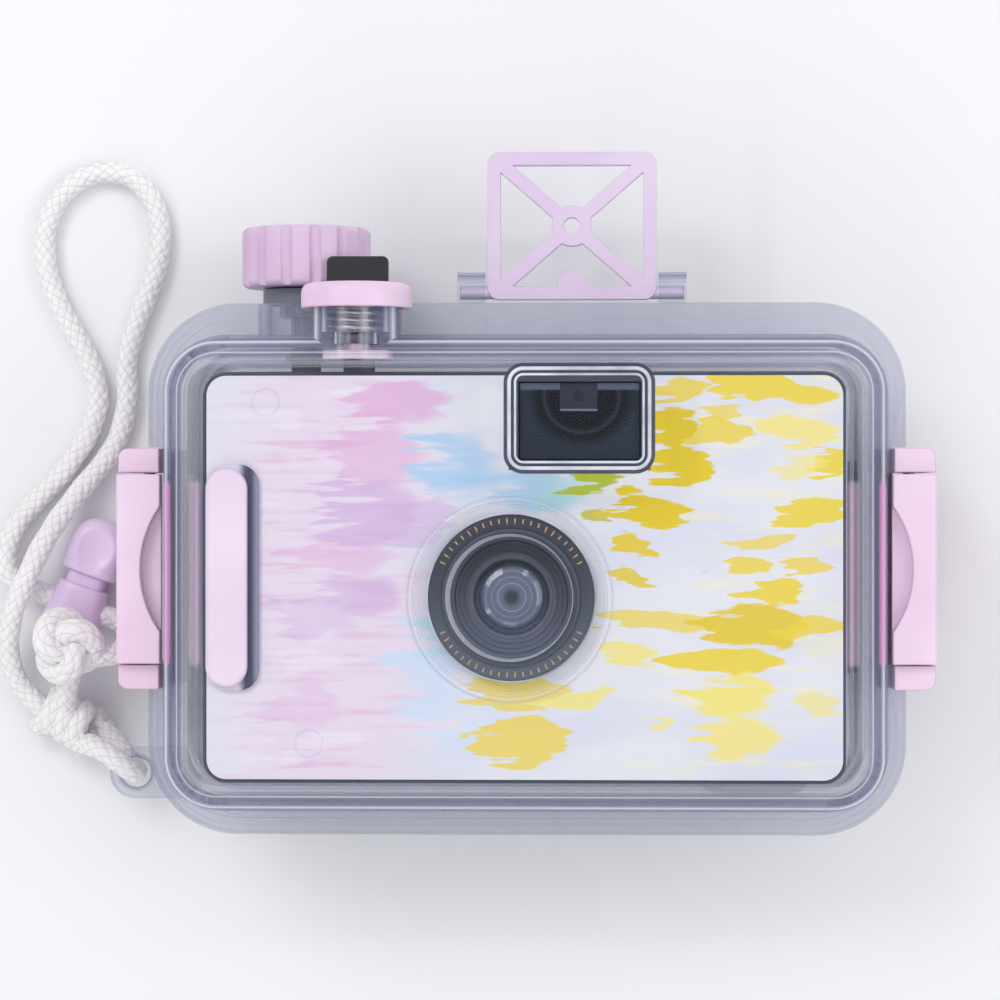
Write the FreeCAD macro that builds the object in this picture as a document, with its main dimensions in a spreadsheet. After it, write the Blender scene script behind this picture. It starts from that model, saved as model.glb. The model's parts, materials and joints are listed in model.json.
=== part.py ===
"""Underwater film camera: a clear latched case with a 35 mm camera and a wrist strap, lying on its back.

Millimetres. X runs to the viewer's right across the front, Y to the top of the camera and Z out of the lens.
The origin is on the case's flat back, under the centre of the sealing flange.
"""

import FreeCAD
import Part
import Sketcher
import math
import os
from FreeCAD import Vector

SIZES = {
    # Case shells: outline of the box, of the sealing flange and the levels along Z.
    "case_corner": 9.0, "case_wall": 2.0, "flange_corner": 15.0, "flange_thick": 3.0, "rear_depth": 28.0,
    "back_round": 3.5, "front_round": 5.2, "inner_round": 3.0, "channel_in": 1.5, "channel_wide": 1.2,
    "channel_deep": 0.8, "gasket_in": 1.0, "gasket_wide": 1.8, "gasket_deep": 1.6, "fit_gap": 0.2,
    "rib_x": 20.0, "rib_wide": 2.0, "rib_low": 30.0, "rib_top": 24.0, "tab_wide": 2.6, "tab_tall": 2.2,
    # Finder bulge, lens port and button boss of the front shell.
    "bulge_corner": 3.2, "bulge_rise": 4.0, "bulge_wall": 1.8, "bulge_round": 1.0, "port_wall": 1.8,
    "port_rise": 6.0, "port_round": 0.8,
    # Latches.
    "latch_half": 20.0, "latch_seat": 2.1, "ear_long": 4.0, "ear_round": 1.6, "lip_gap": 0.25,
    "lever_skin": 2.2, "pivot_radius": 1.0, "lever_round": 1.1, "tail_round": 2.0, "scoop_chord": 20.8,
    "scoop_depth": 3.3, "scoop_down": 2.6, "side_gap": 0.3, "peg_hole_wide": 0.9, "peg_hole_tall": 1.6,
    "peg_hole_deep": 3.0,
    # Sight frame and its lugs.
    "sight_x": 7.6, "sight_half": 14.15, "sight_bar": 2.2, "sight_thick": 2.4, "sight_corner": 2.0,
    "sight_arm": 2.2, "sight_ring": 3.4, "sight_hole": 1.4, "sight_tab": 2.4, "sight_pin": 1.1,
    "lug_wide": 4.7, "lug_gap": 0.35, "lug_thick": 4.8, "lug_round": 2.0,
    # Shutter button, its stem and spring.
    "cap_skin": 1.2, "cap_round": 1.6, "stem_radius": 2.0, "run_gap": 0.06, "foot_wide": 11.0, "foot_rise": 2.4,
    "foot_reach": 9.0, "foot_corner": 2.0, "seal_wire": 0.95, "seal_gap": 0.04, "spring_wire": 0.4,
    "spring_radius": 4.7, "spring_turns": 5.0, "guard_wide": 10.3, "guard_thick": 1.4, "guard_round": 1.0,
    # Winding knob train.
    "knob_radius": 10.9, "knob_flutes": 14, "flute_radius": 1.0, "flute_bite": 0.7, "knob_round": 1.2,
    "knob_dish": 7.4, "dish_deep": 1.4, "wind_boss": 8.2, "wind_shaft": 2.5, "gland_deep": 2.2,
    "screw_head": 2.9, "screw_rise": 1.1, "screw_slot": 0.7, "screw_shank": 1.2, "shoulder_thick": 1.0,
    "tongue_half": 2.0, "tongue_thin": 1.2, "tongue_deep": 2.2,
    # Inner camera: body outline, levels and walls.
    "cam_half": 52.6, "cam_top": 32.4, "cam_low": 34.9, "cam_corner": 4.0, "door_thick": 3.9,
    "cam_wall": 1.8, "cam_round": 1.2, "print_thick": 0.6, "print_corner": 3.2, "chassis_gap": 0.3,
    "lens_x": 2.0, "lens_y": 4.4, "bezel_radius": 13.5, "glass_radius": 5.4, "glass_edge": 1.5,
    "glass_crown": 1.1, "stop_hole": 1.4, "stop_thick": 0.5, "barrel_step": 0.4, "gate_x": 18.0,
    "gate_y": 12.0, "blade_thick": 0.3, "blade_pin": 0.6, "blade_arm": 7.6, "blade_disc": 4.6,
    "window_left": 0.9, "window_right": 19.0, "window_thick": 1.6, "surround": 1.6, "eye_left": 4.9,
    "tunnel_wall": 1.0, "tunnel_in": 0.2, "eye_thick": 1.2, "eye_recess": 0.6, "eye_frame": 2.0,
    "grip_y": 1.2, "grip_half": 3.4, "grip_long": 35.5, "trim_shift": 1.1, "trim_more": 0.7,
    "trim_thick": 0.8, "grip_thick": 1.4, "grip_round": 0.7, "cartridge_radius": 12.8, "take_up_core": 3.6,
    "advance_radius": 10.3, "advance_teeth": 30, "tooth_deep": 0.9, "sprocket_radius": 4.54,
    "sprocket_teeth": 6, "sprocket_end": 3.0, "spool_flange": 0.8, "dial_x": 10.0, "dial_radius": 6.0,
    "release_radius": 2.6, "release_flange": 3.4, "rewind_radius": 8.5, "rewind_thick": 1.9,
    "rewind_shaft": 2.4, "rewind_reach": 7.5, "rewind_round": 0.6, "crank_half": 1.6, "door_gap": 0.4,
    "plate_half_x": 20.0, "plate_half_y": 14.0, "plate_thick": 0.9, "plate_well": 2.3, "leaf_long": 12.0,
    "leaf_foot": 9.0, "leaf_thin": 0.25, "leaf_wide": 8.0, "hinge_radius": 1.7, "hinge_pin": 0.8,
    "knuckle_long": 12.0,
    # Wrist strap: rope, knots, lug and cord lock.
    "rope": 3.8, "knot_long": 7.0, "knot_wide": 6.6, "knot_tall": 4.6, "hitch_radius": 4.6,
    "eye_radius": 2.6, "eye_rim": 4.4, "eye_base": 5.3, "eye_plate": 3.4, "eye_round": 0.8, "eye_gap": 0.36,
    "lug_strand_in": 2.3, "lug_strand_out": 2.76, "lock_x": 81.8, "lock_y": 14.75, "lock_turn": 70.0,
    "lock_long": 12.0, "lock_wide": 10.8, "lock_thick": 7.6, "lock_level": 3.9, "lock_round": 3.5,
    "lock_floor": 1.4, "lock_hole": 8.2, "lock_travel": 1.8, "tongue_gap": 0.15, "tongue_end": 5.2,
    "cap_long": 10.0, "lock_cap": 5.2, "lock_dome": 2.8, "dish_ball": 12.0, "dish_sink": 0.9, "lock_spring_wire": 0.25, "lock_spring_radius": 1.8,
    "lock_spring_turns": 3.0,
}

# Sizes that follow others: what each starts from, added up, and its own step beyond that.
FOLLOWS = {
    # Case shells and latches, from the camera inside.
    "case_half": ("cam_half", 6.5), "case_top": ("cam_top", 5.6), "case_low": ("cam_low", 4.5),
    "flange_half": ("case_half", 3.85), "flange_rise": ("case_low", 4.8), "notch_in": ("case_half", 1.7),
    "ear_inner": ("case_half", 1.9), "ear_outer": ("ear_inner", 6.7), "lever_lip": ("case_half", 1.5),
    "lever_inner": ("lever_lip", 2.8), "lever_outer": ("lever_inner", 4.5), "pivot_x": ("lever_inner", 1.2),
    "pivot_z": ("rear_depth", -11.0), "ear_low": ("rear_depth", -19.0),
    "ear_high": ("rear_depth", "flange_thick", 2.0), "lever_front": ("rear_depth", "flange_thick", 4.0),
    "lever_tail": ("pivot_z", -2.6), "tab_x": ("cam_half", -4.3), "eye_x": ("case_half", 9.1),
    "eye_y": ("case_low", -3.6),
    # Levels along Z, from the seam between the shells.
    "cam_back": ("rear_depth", -18.0), "cover_back": ("cam_back", "door_thick", 0.1),
    "chassis_back": ("cover_back", 0.1), "cartridge_z": ("cam_back", 17.0), "wind_z": ("rear_depth", -9.0),
    "sprocket_z": ("wind_z", 1.0), "dial_z": ("wind_z", 7.0), "cover_front": ("rear_depth", 14.8),
    "front_depth": ("cover_front_step", 5.2), "bezel_front": ("cover_front", 3.8),
    "ring_back": ("cover_front", 1.8), "ring_front": ("ring_back", 2.4),
    "barrel_seat": ("cover_front", -5.8), "well_floor": ("barrel_seat", -2.8),
    "tunnel_end": ("well_floor", -0.6), "glass_back": ("cover_front", -2.2),
    "sight_pin_z": ("rear_depth", -3.0),
    # Sight frame, shutter button and winding knob, from the case's top.
    "sight_low": ("flange_rise", 0.8), "sight_pin_y": ("sight_low", 1.2), "lug_top": ("sight_pin_y", 3.4),
    "sight_top": ("sight_low", 24.7), "pin_reach": ("sight_half", 4.45), "boss_root": ("case_top", -4.0),
    "boss_floor": ("case_top", 0.8), "boss_top": ("boss_floor", 4.1), "boss_cup": ("spring_radius", 1.5),
    "boss_radius": ("boss_cup", 1.4), "cap_radius": ("boss_radius", 1.45), "cap_low": ("boss_floor", 4.0),
    "cap_top": ("cap_low", 4.1), "button_z": ("rear_depth", "flange_thick", "cap_radius", 0.55),
    "release_z": ("button_z", -6.6), "guard_low": ("case_top", 2.6), "guard_top": ("cap_top", 5.1),
    "wind_boss_top": ("flange_rise", 0.3), "collar_top": ("wind_boss_top", 2.5),
    "collar_radius": ("wind_boss", -0.9), "gland_radius": ("wind_shaft", 2.0),
    "knob_low": ("collar_top", 0.3), "knob_top": ("knob_low", 10.2), "shaft_top": ("knob_low", 6.7),
    "wind_x": ("cam_half", -15.0), "button_x": ("wind_x", -10.1), "guard_x": ("button_x", 0.5),
    "foot_low": ("cam_top", 2.1), "foot_top": ("foot_low", 1.4),
    # Inside the camera and on its front.
    "print_half": ("cam_half", -0.8), "print_top": ("cam_top", -0.7), "print_low": ("cam_low", -0.8),
    "hinge_x": ("cam_half", 1.8), "grip_x": ("cam_half", -4.2), "deck": ("cam_top", -7.2),
    "advance_low": ("deck", 0.8), "advance_top": ("advance_low", 4.2), "dial_top": ("deck", 4.0),
    "release_low": ("deck", 2.8), "cartridge_top": ("deck", -5.2), "cartridge_low": ("cam_low", -6.9),
    "spool_x": ("cam_half", -14.6), "take_up_rim": ("take_up_core", 1.2),
    "take_up_room": ("take_up_rim", 2.2), "sprocket_x": ("wind_x", -12.7),
    "sprocket_tip": ("sprocket_radius", 0.56), "sprocket_room": ("sprocket_tip", 0.3),
    "window_top": ("cam_top", -1.7), "window_low": ("window_top", -12.8), "eye_top": ("window_top", -1.1),
    "eye_low": ("eye_top", -5.4), "eye_right": ("window_right", -6.5), "bulge_left": ("window_left", 2.2),
    "bulge_right": ("window_right", 2.3), "bulge_top": ("window_top", 2.8),
    "bulge_low": ("window_low", -2.3), "bezel_neck": ("bezel_radius", -1.4),
    "bezel_bore": ("bezel_neck", -0.9), "ring_bore": ("bezel_bore", -1.3), "lens_well": ("bezel_neck", 0.9),
    "shutter_well": ("lens_well", -2.0), "port_radius": ("bezel_radius", 3.2),
    "barrel_tube": ("glass_radius", 0.8), "stop_radius": ("glass_radius", -1.0),
    # Cord lock, from its own outline and the rope.
    "lock_core": ("lock_wide", -3.4), "lock_cavity": ("lock_thick", -1.8), "cap_bottom": ("lock_long", 2.0),
    "lock_slot": ("rope", 0.6), "lock_slot_tall": ("rope", 0.4),
}

# Centre line of the wrist loop: from the hitch through the ball knot and the cord lock, round the open end
# and back over the strand at the lock's side to the hitch.
KNOT = (-79.5, -13.7, 12.5)
HITCH_ENDS = ((-83.0, -24.9, 4.7), (-77.2, -28.6, 4.7))
LOOP_ROUTE = [
    (-80.6, -27.2, 4.9), (-80.5, -22.5, 9.5), (-78.0, -15.5, 12.3), (-70.3, -15.6, 9.6),
    (-69.4, -10.53, 3.9), (-91.6, -2.46, 3.9), (-91.4, 4.6, 3.0), (-88.2, 9.6, 2.1),
    (-81.8, 15.8, 2.0), (-76.8, 23.4, 2.0), (-75.2, 29.6, 2.0), (-77.2, 36.6, 2.0), (-81.6, 43.4, 2.0),
    (-85.2, 52.0, 2.0), (-84.8, 61.6, 2.0), (-78.6, 68.6, 2.0), (-69.8, 69.0, 2.0), (-64.6, 62.0, 2.0),
    (-64.8, 52.6, 2.0), (-68.6, 43.2, 2.0), (-70.9, 35.6, 2.0), (-70.2, 28.6, 2.0), (-72.4, 20.4, 2.1),
    (-78.3, 13.4, 4.0), (-83.7, 5.3, 7.8), (-87.2, -2.4, 9.6), (-90.0, -9.0, 8.6), (-90.9, -15.6, 5.8),
    (-89.2, -21.4, 3.9), (-84.6, -25.4, 4.0),
]

doc = FreeCAD.newDocument("underwater_camera")
sheet = doc.addObject("Spreadsheet::Sheet", "Sizes")
pieces = {}


class Size:
    """A length that carries its value in millimetres and the formula that a feature is bound to."""

    def __init__(self, value, text):
        self.value = float(value)
        self.text = text

    def __add__(self, other):
        other = as_size(other)
        return Size(self.value + other.value, f"({self.text} + {other.text})")

    def __sub__(self, other):
        other = as_size(other)
        return Size(self.value - other.value, f"({self.text} - {other.text})")

    def __mul__(self, other):
        other = as_size(other)
        return Size(self.value * other.value, f"({self.text} * {other.text})")

    def __truediv__(self, other):
        other = as_size(other)
        return Size(self.value / other.value, f"({self.text} / {other.text})")

    def __radd__(self, other):
        return as_size(other) + self

    def __rsub__(self, other):
        return as_size(other) - self

    def __rmul__(self, other):
        return as_size(other) * self

    def __neg__(self):
        return Size(-self.value, f"(0 - {self.text})")


def as_size(number):
    return number if isinstance(number, Size) else Size(number, repr(float(number)))


class Names:
    """The sheet's cells as attributes."""


D = Names()
STEPS = {f"{name}_step": entry[-1] for name, entry in FOLLOWS.items()}
for row, (name, number) in enumerate((SIZES | STEPS).items(), start=1):
    sheet.set(f"A{row}", name)
    sheet.set(f"B{row}", str(number))
    sheet.setAlias(f"B{row}", name)
    setattr(D, name, Size(number, f"Sizes.{name}"))
doc.recompute()
for name, (*starts, step) in FOLLOWS.items():
    setattr(D, name, sum((getattr(D, start) for start in starts), getattr(D, f"{name}_step")))


def bind(thing, path, size):
    """Bind one property of an object to a formula of the sheet."""
    thing.setExpression(path, as_size(size).text)


def place(thing, x=0, y=0, z=0):
    for axis, size in zip("xyz", (x, y, z)):
        bind(thing, f"Placement.Base.{axis}", size)


def new_body(label):
    body = doc.addObject("PartDesign::Body", label)
    body.Label = label
    pieces[label] = body
    return body


def new_sketch(body, plane, height=0, shift=(0, 0), turn=None):
    """A sketch on one of the body's own planes, lifted along the plane's normal."""
    sketch = body.newObject("Sketcher::SketchObject", body.Name + "_sketch")
    sketch.AttachmentSupport = [(next(f for f in body.Origin.OriginFeatures if f.Role == plane), "")]
    sketch.MapMode = "FlatFace"
    for axis, size in zip("xyz", (shift[0], shift[1], height)):
        bind(sketch, f"AttachmentOffset.Base.{axis}", size)
    if turn is not None:
        bind(sketch, "AttachmentOffset.Rotation.Angle", turn)
    return sketch


def fix_point(sketch, piece, point, x, y):
    """Hold a sketch point at x, y from the sketch's origin."""
    for kind, axis, size in (("DistanceX", -2, x), ("DistanceY", -1, y)):
        size = as_size(size)
        if size.text == "0.0":
            sketch.addConstraint(Sketcher.Constraint("PointOnObject", piece, point, axis))
        else:
            index = sketch.addConstraint(Sketcher.Constraint(kind, -1, 1, piece, point, size.value))
            sketch.setExpression(f"Constraints[{index}]", size.text)


def polygon(sketch, corners):
    """A closed outline through the given corners."""
    first = sketch.GeometryCount
    flat = [Vector(as_size(x).value, as_size(y).value, 0) for x, y in corners]
    for start, end in zip(flat, flat[1:] + flat[:1]):
        sketch.addGeometry(Part.LineSegment(start, end), False)
    count = len(corners)
    for step, (x, y) in enumerate(corners):
        before = first + (step - 1) % count
        sketch.addConstraint(Sketcher.Constraint("Coincident", before, 2, first + step, 1))
        fix_point(sketch, first + step, 1, x, y)
    return sketch


def rectangle(sketch, left, right, low, high):
    return polygon(sketch, [(left, low), (right, low), (right, high), (left, high)])


def circle(sketch, x, y, radius):
    radius = as_size(radius)
    centre = Vector(as_size(x).value, as_size(y).value, 0)
    index = sketch.addGeometry(Part.Circle(centre, Vector(0, 0, 1), radius.value), False)
    fix_point(sketch, index, 3, x, y)
    constraint = sketch.addConstraint(Sketcher.Constraint("Radius", index, radius.value))
    sketch.setExpression(f"Constraints[{constraint}]", radius.text)
    return sketch


def rounded(sketch, left, right, low, high, corner):
    """A rectangle whose four corners are arcs of one radius."""
    left, right, low, high, corner = (as_size(size) for size in (left, right, low, high, corner))
    first = sketch.GeometryCount
    x0, x1, y0, y1, r = left.value, right.value, low.value, high.value, corner.value
    ends = [((x0 + r, y0), (x1 - r, y0)), ((x1, y0 + r), (x1, y1 - r)),
            ((x1 - r, y1), (x0 + r, y1)), ((x0, y1 - r), (x0, y0 + r))]
    for start, end in ends:
        sketch.addGeometry(Part.LineSegment(Vector(*start, 0), Vector(*end, 0)), False)
    centres = [(x1 - r, y0 + r), (x1 - r, y1 - r), (x0 + r, y1 - r), (x0 + r, y0 + r)]
    for quarter, centre in enumerate(centres):
        ring = Part.Circle(Vector(*centre, 0), Vector(0, 0, 1), r)
        start = (quarter - 1) * math.pi / 2
        sketch.addGeometry(Part.ArcOfCircle(ring, start, start + math.pi / 2), False)
    for side in range(4):
        line, arc, following = first + side, first + 4 + side, first + (side + 1) % 4
        sketch.addConstraint(Sketcher.Constraint("Tangent", line, 2, arc, 1))
        sketch.addConstraint(Sketcher.Constraint("Tangent", arc, 2, following, 1))
        sketch.addConstraint(Sketcher.Constraint("Vertical" if side % 2 else "Horizontal", line))
    for arc in range(3):
        sketch.addConstraint(Sketcher.Constraint("Equal", first + 4 + arc, first + 5 + arc))
    index = sketch.addConstraint(Sketcher.Constraint("Radius", first + 4, r))
    sketch.setExpression(f"Constraints[{index}]", corner.text)
    for kind, line, size in (("DistanceY", 0, low), ("DistanceX", 1, right),
                             ("DistanceY", 2, high), ("DistanceX", 3, left)):
        index = sketch.addConstraint(Sketcher.Constraint(kind, -1, 1, first + line, 1, size.value))
        sketch.setExpression(f"Constraints[{index}]", size.text)
    return sketch


def pad(body, sketch, length, reverse=False, midplane=False):
    feature = body.newObject("PartDesign::Pad", sketch.Name + "_pad")
    feature.Profile = sketch
    bind(feature, "Length", length)
    feature.Reversed = reverse
    if midplane:
        feature.SideType = "Symmetric"
    return feature


def pocket(body, sketch, length, reverse=False, midplane=False):
    feature = body.newObject("PartDesign::Pocket", sketch.Name + "_pocket")
    feature.Profile = sketch
    bind(feature, "Length", length)
    feature.Reversed = reverse
    if midplane:
        feature.SideType = "Symmetric"
    return feature


def round_edges(body, radius, chosen):
    """Fillet those edges of the body's last feature that the test chooses."""
    doc.recompute()
    base = body.Tip
    names = [f"Edge{number}" for number, edge in enumerate(base.Shape.Edges, start=1) if chosen(edge)]
    fillet = body.newObject("PartDesign::Fillet", body.Name + "_fillet")
    fillet.Base = (base, names)
    bind(fillet, "Radius", radius)
    return fillet


def level(axis, size, within=None):
    """A test for the edges that lie wholly at one level of an axis, inside an optional reach of X."""
    at = as_size(size).value

    def test(edge):
        box = edge.BoundBox
        low, high = getattr(box, axis + "Min"), getattr(box, axis + "Max")
        inside = within is None or within(box)
        return abs(low - at) < 0.01 and abs(high - at) < 0.01 and inside
    return test


def turned(label, plane, corners):
    """A piece turned about the upright axis of its sketch plane: Y on XY_Plane, Z on XZ_Plane."""
    body = new_body(label)
    sketch = polygon(new_sketch(body, plane), corners)
    feature = body.newObject("PartDesign::Revolution", label + "_turn")
    feature.Profile = sketch
    feature.ReferenceAxis = (sketch, ["V_Axis"])
    feature.Angle = 360
    return body


def post(body, x, z, radius, top, length):
    """A round post along Y, from its top downwards."""
    return pad(body, circle(new_sketch(body, "XZ_Plane", -top), x, z, radius), length)


def well(body, x, z, radius, top, depth):
    """A round hole along Y, from its mouth downwards."""
    return pocket(body, circle(new_sketch(body, "XZ_Plane", -top), x, z, radius), depth, reverse=True)


def raise_pad(body, sketch_of, start, height, *shape):
    """Pad an outline along Z from one level; sketch_of draws it from the given sizes."""
    return pad(body, sketch_of(new_sketch(body, "XY_Plane", start), *shape), height)


def cut_down(body, sketch_of, start, depth, *shape):
    """Pocket an outline along -Z from one level."""
    return pocket(body, sketch_of(new_sketch(body, "XY_Plane", start), *shape), depth)


def cut_up(body, sketch_of, start, depth, *shape):
    """Pocket an outline along +Z from one level."""
    return pocket(body, sketch_of(new_sketch(body, "XY_Plane", start), *shape), depth, reverse=True)


def mirrored(label, source):
    """The same piece on the other side of the YZ plane."""
    piece = doc.addObject("Part::Mirroring", label)
    piece.Label = label
    piece.Source = source
    piece.Normal = Vector(1, 0, 0)
    pieces[label] = piece
    return piece


def path_wire(points, share=0.45):
    """Straight runs joined by tangent arcs; each arc is as large as its two runs allow."""
    points = [Vector(*point) for point in points]
    edges, radii, here = [], [], points[0]
    for before, corner, after in zip(points, points[1:], points[2:]):
        back, ahead = before - corner, after - corner
        shorter = min(back.Length, ahead.Length)
        back.normalize()
        ahead.normalize()
        half_turn = (math.pi - back.getAngle(ahead)) / 2
        cut = share * shorter
        radius = cut / math.tan(half_turn)
        start, end = corner + back * cut, corner + ahead * cut
        inward = back + ahead
        inward.normalize()
        middle = corner + inward * (radius / math.cos(half_turn) - radius)
        edges += [Part.LineSegment(here, start).toShape(), Part.Arc(start, middle, end).toShape()]
        radii.append(radius)
        here = end
    edges.append(Part.LineSegment(here, points[-1]).toShape())
    return Part.Wire(edges), radii


def biarc(start, start_way, end, end_way):
    """Two tangent arcs that leave start along start_way and reach end along end_way."""
    span, both = end - start, start_way + end_way
    spread = 2 * (1 - start_way.dot(end_way))
    reach = (math.sqrt(span.dot(both) ** 2 + spread * span.dot(span)) - span.dot(both)) / spread
    first, second = start + start_way * reach, end - end_way * reach
    joint = (first + second) * 0.5
    return [tangent_arc(start, first, joint), tangent_arc(joint, second, end)]


def tangent_arc(start, corner, end):
    """The arc from start to end that touches both sides of the corner between them."""
    half = (end - start).Length / 2
    side = (start - corner).Length
    middle = (start + end) * 0.5
    drop = (middle - corner).Length
    radius = side * half / drop
    inward = (middle - corner) * (1 / drop)
    apex = corner + inward * (math.hypot(side, radius) - radius)
    return Part.Arc(start, apex, end).toShape()


def tube(label, wire, radius):
    """A round rope or wire along a path, with its volume checked against section times length."""
    start = wire.OrderedEdges[0]
    way = start.tangentAt(start.FirstParameter)
    section = Part.Wire(Part.makeCircle(radius, start.valueAt(start.FirstParameter), way))
    shape = wire.makePipeShell([section], True, False)
    expected = math.pi * radius ** 2 * wire.Length
    print(f"{label}: length {wire.Length:.1f}, volume ratio {shape.Volume / expected:.4f}")
    return shape


def formed(label, shape):
    """A piece whose shape is worked out from the sheet by its own function."""
    piece = doc.addObject("Part::Feature", label)
    piece.Label = label
    piece.Shape = shape
    pieces[label] = piece
    return piece


def coil_spring(label, radius, wire, turns, length):
    """A compression spring along +Z from the origin: a helix in quarter-turn biarcs."""
    steps = int(round(turns * 4))
    rise = length / steps
    climb = math.atan2(rise * 2 / math.pi, radius)
    points, ways = [], []
    for step in range(steps + 1):
        angle = step * math.pi / 2
        points.append(Vector(radius * math.cos(angle), radius * math.sin(angle), rise * step))
        flat = math.cos(climb)
        ways.append(Vector(-math.sin(angle) * flat, math.cos(angle) * flat, math.sin(climb)))
    edges = []
    for step in range(steps):
        edges += biarc(points[step], ways[step], points[step + 1], ways[step + 1])
    print(f"{label}: gap between turns {rise * 4 * math.cos(climb) - 2 * wire:.2f}")
    return tube(label, Part.Wire(edges), wire)


# Case shells.

def case_outline(sketch, inset=0):
    """The box outline of both shells, moved in by an inset."""
    return rounded(sketch, inset - D.case_half, D.case_half - inset, inset - D.case_low,
                   D.case_top - inset, D.case_corner - inset)


def flange_outline(sketch, inset=0):
    return rounded(sketch, inset - D.flange_half, D.flange_half - inset, inset - D.flange_rise,
                   D.flange_rise - inset, D.flange_corner - inset)


def between(sketch, outline, outer, inner):
    """The ring between two insets of one outline."""
    outline(sketch, outer)
    return outline(sketch, inner)


def cut_ear_notches(body, height):
    """Slots in a flange where the latch ears pass on both sides."""
    inner = D.latch_half - D.ear_long - D.fit_gap
    outer = D.latch_half + D.fit_gap
    sketch = new_sketch(body, "XY_Plane", height)
    for low, high in ((-outer, -inner), (inner, outer)):
        rectangle(sketch, -D.flange_half - 1, -D.notch_in, low, high)
        rectangle(sketch, D.notch_in, D.flange_half + 1, low, high)
    pocket(body, sketch, D.flange_thick)


def make_rear_shell():
    body = new_body("rear_shell")
    raise_pad(body, case_outline, 0, D.rear_depth)
    round_edges(body, D.back_round, level("Z", 0))
    raise_pad(body, flange_outline, D.rear_depth - D.flange_thick, D.flange_thick)
    add_sight_lugs(body)
    post(body, -D.wind_x, D.wind_z, D.wind_boss, D.wind_boss_top, D.wind_boss_top - D.case_top + D.case_wall)
    add_strap_lug(body)
    cut_down(body, case_outline, D.rear_depth, D.rear_depth - D.case_wall, D.case_wall)
    round_edges(body, D.inner_round, level("Z", D.case_wall))
    cut_down(body, between, D.rear_depth, D.gasket_deep, case_outline, D.gasket_in - D.gasket_wide,
             D.gasket_in)
    cut_ear_notches(body, D.rear_depth)
    well(body, -D.wind_x, D.wind_z, D.wind_shaft + D.run_gap, D.wind_boss_top,
         D.wind_boss_top - D.case_top + D.case_wall + 1)
    well(body, -D.wind_x, D.wind_z, D.gland_radius, D.wind_boss_top, D.gland_deep)
    for middle in (-D.rib_x, D.rib_x):
        raise_pad(body, rectangle, D.case_wall, D.cam_back - D.case_wall, middle - D.rib_wide / 2,
                  middle + D.rib_wide / 2, -D.rib_low, D.rib_top)
    cut_up(body, rounded, 0, D.eye_recess, D.eye_left - D.eye_frame, D.eye_right + D.eye_frame,
           D.eye_low - D.eye_frame, D.eye_top + D.eye_frame, D.bulge_round)


def add_sight_lugs(body):
    """Two clear ears on the top wall that hold the sight frame's pins."""
    inner = D.sight_half + D.lug_gap
    for left, right in ((D.sight_x - inner - D.lug_wide, D.sight_x - inner),
                        (D.sight_x + inner, D.sight_x + inner + D.lug_wide)):
        raise_pad(body, rectangle, D.sight_pin_z - D.lug_thick / 2, D.lug_thick, left, right,
                  D.case_top - D.case_wall, D.lug_top)
    round_edges(body, D.lug_round, level("Y", D.lug_top, lambda box: box.XLength > 1))
    reach = D.pin_reach + D.fit_gap
    hole = circle(new_sketch(body, "YZ_Plane", D.sight_x - reach), D.sight_pin_y, D.sight_pin_z,
                  D.sight_pin + D.run_gap)
    pocket(body, hole, reach * 2, reverse=True)


def add_strap_lug(body):
    """A flat lug with a round eye at the lower left corner of the rear shell."""
    inside = D.case_half - D.case_wall
    raise_pad(body, rectangle, D.eye_base, D.eye_plate, -D.eye_x, -inside, -D.eye_y - D.eye_rim,
              D.eye_rim - D.eye_y)
    raise_pad(body, circle, D.eye_base, D.eye_plate, -D.eye_x, -D.eye_y, D.eye_rim)
    cut_up(body, circle, D.eye_base, D.eye_plate, -D.eye_x, -D.eye_y, D.eye_radius)
    bore = D.eye_radius.value
    round_edges(body, D.eye_round, lambda edge: edge.Curve.TypeId == "Part::GeomCircle"
                and abs(edge.Curve.Radius - bore) < 0.01)


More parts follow.
